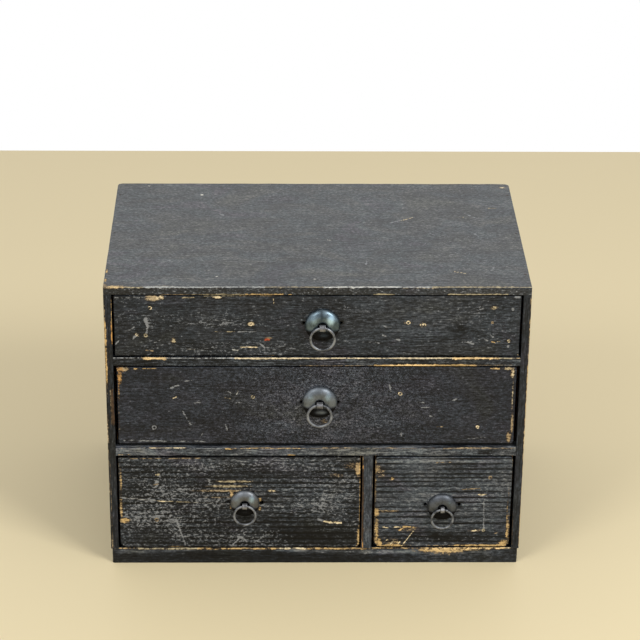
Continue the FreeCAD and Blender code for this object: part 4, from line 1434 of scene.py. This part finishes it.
def turned_rosette(name, seed):
    """A domed rosette of sheet iron, hammered a little uneven, round a hole for the eye, with painted shade
    and light.
    """
    pull = PULLS[name]
    low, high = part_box(name + "_rosette")
    centre = (low + high) / 2
    radius, height = (high.x - low.x) / 2, high.y - low.y
    eye_low, eye_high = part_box(name + "_eye")
    hole = (eye_high.x - eye_low.x) / 2 + HOLE_GAP
    crown = radius * CROWN_SHARE
    profile = [(radius + out * mm, up * mm) for out, up in ROSETTE_RIM]
    for step in range(1, DOME_STEPS + 1):
        angle = math.pi / 2 * step / DOME_STEPS
        outer = crown + (radius - crown) * math.cos(angle) ** DOME_OUT
        profile.append((outer, DOME_FOOT + (height - DOME_FOOT) * math.sin(angle) ** DOME_UP))
    profile.append(((crown + hole) / 2, height - CROWN_DISH))
    profile += [(hole + out * mm, height + up * mm) for out, up in ROSETTE_LIP]
    outside = len(profile)
    profile += [(hole + out * mm, height + up * mm) for out, up in ROSETTE_THROAT]
    profile += [(hole + out * mm, up * mm) for out, up in THROAT_END]
    profile.append((crown, height - THROAT_ROOF))
    for step in range(INNER_STEPS, 0, -1):
        angle = math.pi / 2 * step / (INNER_STEPS + 1)
        inner = crown + (radius - INNER_WALL - crown) * math.cos(angle)
        profile.append((inner, (height - INNER_ROOF) * math.sin(angle)))
    turn = np.arange(TURN_STEPS) * 2 * math.pi / TURN_STEPS
    radii, heights = (np.array(values) for values in zip(*profile))
    across = np.outer(np.cos(turn), radii) + centre.x
    upright = np.outer(np.sin(turn), radii) + centre.z
    depth = high.y - np.tile(heights, (TURN_STEPS, 1))
    points = np.stack([across, depth, upright], -1).reshape(-1, 3)
    outward = points - np.array([centre.x, high.y, centre.z])
    outward /= np.linalg.norm(outward, axis=1)[:, None]
    dents = drift(points, 6 * mm, seed) * 0.5 + drift(points, 2.6 * mm, seed + 1) * 0.18
    shown = np.tile(np.arange(len(profile)) < outside, TURN_STEPS)
    points -= outward * (np.where(shown, 0.1 + dents * 0.2, 0)[:, None] * mm)
    points[:, 1] = np.minimum(points[:, 1], high.y)
    made = shape("domed_" + name + "_rosette", points, ring_faces(TURN_STEPS, len(profile)))
    settle(made, name, [name + "_rosette"])
    away = np.hypot(points[:, 0] - centre.x, points[:, 2] - centre.z)
    sunk = ease(high.y - height + 0.5 * mm - points[:, 1], -1.0 * mm, 0.2 * mm)
    rise = (points[:, 2] - centre.z) / radius
    reach = (points[:, 0] - centre.x) / radius
    # Painted shade on the dome's lower half, lightened by a painted glint, and a painted dark band at the
    # top
    dome_shade = 0.92 * ease(-rise, -0.02, 0.42)
    dome_shade -= pull.glint * in_patch(GLINT, reach, rise)
    dome_shade += pull.crease * np.exp(-(((reach + 0.06) / 0.1) ** 2)) * ease(rise, 0.2, 0.5)
    # Inside the hole the dome is painted black as shade, the deeper the darker
    keep(made.data, "painted_shade", np.where(away < hole + 0.05 * mm, 1 - sunk, dome_shade))
    # Painted highlights on the upper left and right of the dome, standing in for reflected light
    left, right = pull.polish
    bright = left * in_patch(HIGHLIGHT_LEFT, reach, rise) + right * in_patch(HIGHLIGHT_RIGHT, reach, rise)
    keep(made.data, "rub", bright)
    finish_metal(made, iron(name + "_rosette_iron", *pull[:3], pull.rough, 0.9))


def finish_metal(made, look):
    """Gives a closed mesh its iron, and turns its faces outwards."""
    finish(made.data, look, METAL_SHARP)
    bring_out(made)


def bring_out(made):
    """Turns every face of a closed mesh outwards."""
    work = bmesh.new()
    work.from_mesh(made.data)
    bmesh.ops.recalc_face_normals(work, faces=work.faces)
    work.to_mesh(made.data)
    work.free()


def split_pin(name, seed):
    """The eye: a strip looped round the ring, with both legs through the front and bent apart."""
    low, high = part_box(name + "_eye")
    ring_low, ring_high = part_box(name + "_ring")
    x, z = (low.x + high.x) / 2, (low.z + high.z) / 2
    pivot = (ring_low.y + ring_high.y) / 2
    half = STRIP_THICKNESS / 2
    loop = pivot - low.y - half
    leg = STRIP_GAP / 2 + half
    behind = high.y - half
    start = math.asin(leg / loop)
    upper = [(behind, high.z - z - PIN_END)]
    upper += [(behind + back * mm, leg + up * mm) for back, up in PIN_BEND]
    upper += [(pivot + loop + back * mm, leg + up * mm) for back, up in PIN_NECK]
    turns = [start + (2 * math.pi - 2 * start) * step / LOOP_STEPS for step in range(LOOP_STEPS + 1)]
    round_ring = [(pivot + loop * math.cos(angle), loop * math.sin(angle)) for angle in turns]
    line = np.array(upper + round_ring + [(place, -rise) for place, rise in reversed(upper)])
    ahead = np.gradient(line, axis=0)
    ahead /= np.linalg.norm(ahead, axis=1)[:, None]
    side = np.stack([-ahead[:, 1], ahead[:, 0]], -1)
    width = (high.x - low.x) / 2 * PULLS[name].narrow
    points = []
    for share, thick in STRIP_SLICES:
        for sign in (1, -1):
            for place, rise in line + side * half * thick * sign:
                points.append((x + width * share, place, z + rise))
    count = len(line)
    faces = []
    last = (len(STRIP_SLICES) - 1) * 2 * count
    for here in range(0, last, 2 * count):
        there = here + 2 * count
        for k in range(count - 1):
            faces.append((here + k, here + k + 1, there + k + 1, there + k))
            faces.append((here + count + k + 1, here + count + k, there + count + k, there + count + k + 1))
        for k in (0, count - 1):
            faces.append((here + k, there + k, there + count + k, here + count + k))
    for base in (0, last):
        for k in range(count - 1):
            faces.append((base + k, base + k + 1, base + count + k + 1, base + count + k))
    points = np.array(points)
    points += drift(points, 2.2 * mm, seed)[:, None] * 0.05 * mm
    points[:, 1] = np.clip(points[:, 1], low.y, high.y)
    made = shape("looped_" + name + "_eye", points, faces)
    settle(made, name, [name + "_eye"])
    # Painted shade on the part of the pin within the rosette's dome, and a little behind the front
    hidden = ease(points[:, 1], FACE_PLANE - 6.0 * mm, FACE_PLANE - 2.5 * mm)
    keep(made.data, "painted_shade", np.where(points[:, 1] > FACE_PLANE + mm, 0.2, hidden))
    keep(made.data, "rub", np.zeros(len(points)))
    finish_metal(made, iron(name + "_eye_iron", *PIN_STEEL, PULLS[name].rough, 0.7))


def hanging_ring(name, seed):
    """The ring, of hand-drawn wire, a little uneven in thickness."""
    low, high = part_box(name + "_ring")
    centre = (low + high) / 2
    wire = (high.y - low.y) / 2
    radius = (high.x - low.x) / 2 - wire
    turn = np.arange(TURN_STEPS) * 2 * math.pi / TURN_STEPS
    around = np.arange(WIRE_STEPS) * 2 * math.pi / WIRE_STEPS
    spoke = np.stack([np.cos(turn), np.zeros(TURN_STEPS), np.sin(turn)], -1)
    places = np.array(centre) + spoke * radius
    thick = wire * (0.975 + 0.025 * drift(places, 5 * mm, seed))
    outwards = spoke[:, None, :] * np.cos(around)[None, :, None]
    depth = np.array([0, 1.0, 0])[None, None, :] * np.sin(around)[None, :, None]
    points = places[:, None, :] + (outwards + depth) * thick[:, None, None]
    points = points.reshape(-1, 3)
    from_middle = points - np.repeat(places, WIRE_STEPS, axis=0)
    points += drift(points, 2 * mm, seed + 1)[:, None] * from_middle * 0.03
    made = shape("hanging_" + name + "_ring", points, ring_faces(TURN_STEPS, WIRE_STEPS))
    settle(made, name + "_pull", [name + "_ring"])
    keep(made.data, "painted_shade", np.zeros(len(points)))
    keep(made.data, "rub", np.zeros(len(points)))
    finish_metal(made, iron(name + "_ring_iron", *RING_STEEL, PULLS[name].rough, 0.5))


# Finishes of the nodes that stay as they are


def finish_nodes():
    """Bare wood on the drawer boxes and old iron on the nails."""
    looks = {
        "_left_side": BARE_ALONG, "_right_side": BARE_ALONG, "_back": BARE_ACROSS,
        "_bottom": BARE_BOTTOM, "_nails": NAIL_IRON,
    }
    for drawer in DRAWERS:
        for part, look in looks.items():
            dress(drawer + part, look)
    for group in ("top", "shelf", "base", "plinth", "back"):
        dress(group + "_nails", NAIL_IRON)


def dress(node, look):
    """Gives a node of the frame a material."""
    mesh = frame["nodes"][node].data
    mesh.materials.clear()
    mesh.materials.append(look)


# Stage


def floor():
    """A plain pale floor that ends where the photograph's does."""
    corners = [
        (-FLOOR_SIDE, FLOOR_FRONT, 0), (FLOOR_SIDE, FLOOR_FRONT, 0),
        (FLOOR_SIDE, FLOOR_BACK, 0), (-FLOOR_SIDE, FLOOR_BACK, 0),
    ]
    made = shape("floor", corners, [(0, 1, 2, 3)])
    graph = Graph("pale_floor")
    graph.set(Base_Color=FLOOR_COLOUR, Roughness=0.6)
    made.data.materials.append(graph.material)


def world():
    """Even white light, seen as white behind the floor and in reflections."""
    made = bpy.data.worlds.new("studio")
    bpy.context.scene.world = made
    made.use_nodes = True
    nodes, link = made.node_tree.nodes, made.node_tree.links.new
    back = nodes["Background"]
    back.inputs["Color"].default_value = (1, 1, 1, 1)
    path = nodes.new("ShaderNodeLightPath")
    seen = path.outputs["Is Camera Ray"]
    for ray in ("Is Glossy Ray", "Is Transmission Ray"):
        either = nodes.new("ShaderNodeMath")
        either.operation = "MAXIMUM"
        link(seen, either.inputs[0])
        link(path.outputs[ray], either.inputs[1])
        seen = either.outputs[0]
    level = nodes.new("ShaderNodeMapRange")
    level.inputs["To Min"].default_value = WORLD_STRENGTH
    level.inputs["To Max"].default_value = 1.0
    link(seen, level.inputs["Value"])
    link(level.outputs[0], back.inputs["Strength"])


def soft_light(name, place, power):
    """A square soft light that looks at the chest."""
    lamp = bpy.data.lights.new(name, "AREA")
    lamp.shape = "SQUARE"
    lamp.size = LIGHT_SIZE
    lamp.energy = power
    made = bpy.data.objects.new(name, lamp)
    made.location = place
    made.rotation_euler = (LIGHT_TARGET - Vector(place)).to_track_quat("-Z", "Y").to_euler()
    bpy.context.scene.collection.objects.link(made)


def camera():
    """The photograph's camera."""
    forward, right, up = camera_axes()
    lens = bpy.data.cameras.new("camera")
    lens.sensor_width = SENSOR_WIDTH
    lens.lens = PHOTO_FOCAL * SENSOR_WIDTH / PHOTO_WIDTH
    lens.clip_end = 20.0
    made = bpy.data.objects.new("camera", lens)
    turn = Matrix((right, up, -forward)).transposed()
    made.matrix_world = Matrix.Translation(CAMERA_PLACE) @ turn.to_4x4()
    bpy.context.scene.collection.objects.link(made)
    bpy.context.scene.camera = made


top_board()
sides()
shelves()
base()
backs()
# Each piece of a drawer's front has its own seed, so that all of them are uneven in their own way
for number, drawer in enumerate(DRAWERS):
    drawer_front(drawer, 61 + 7 * number)
    turned_rosette(drawer, 101 + 5 * number)
    split_pin(drawer, 141 + 3 * number)
    hanging_ring(drawer, 171 + 3 * number)
finish_nodes()
floor()
world()
soft_light("window_left", (-1.2, -1.5, 2.0), 16)
soft_light("window_right", (1.3, -1.4, 1.9), 30)
camera()
bpy.context.scene.view_settings.view_transform = "Standard"
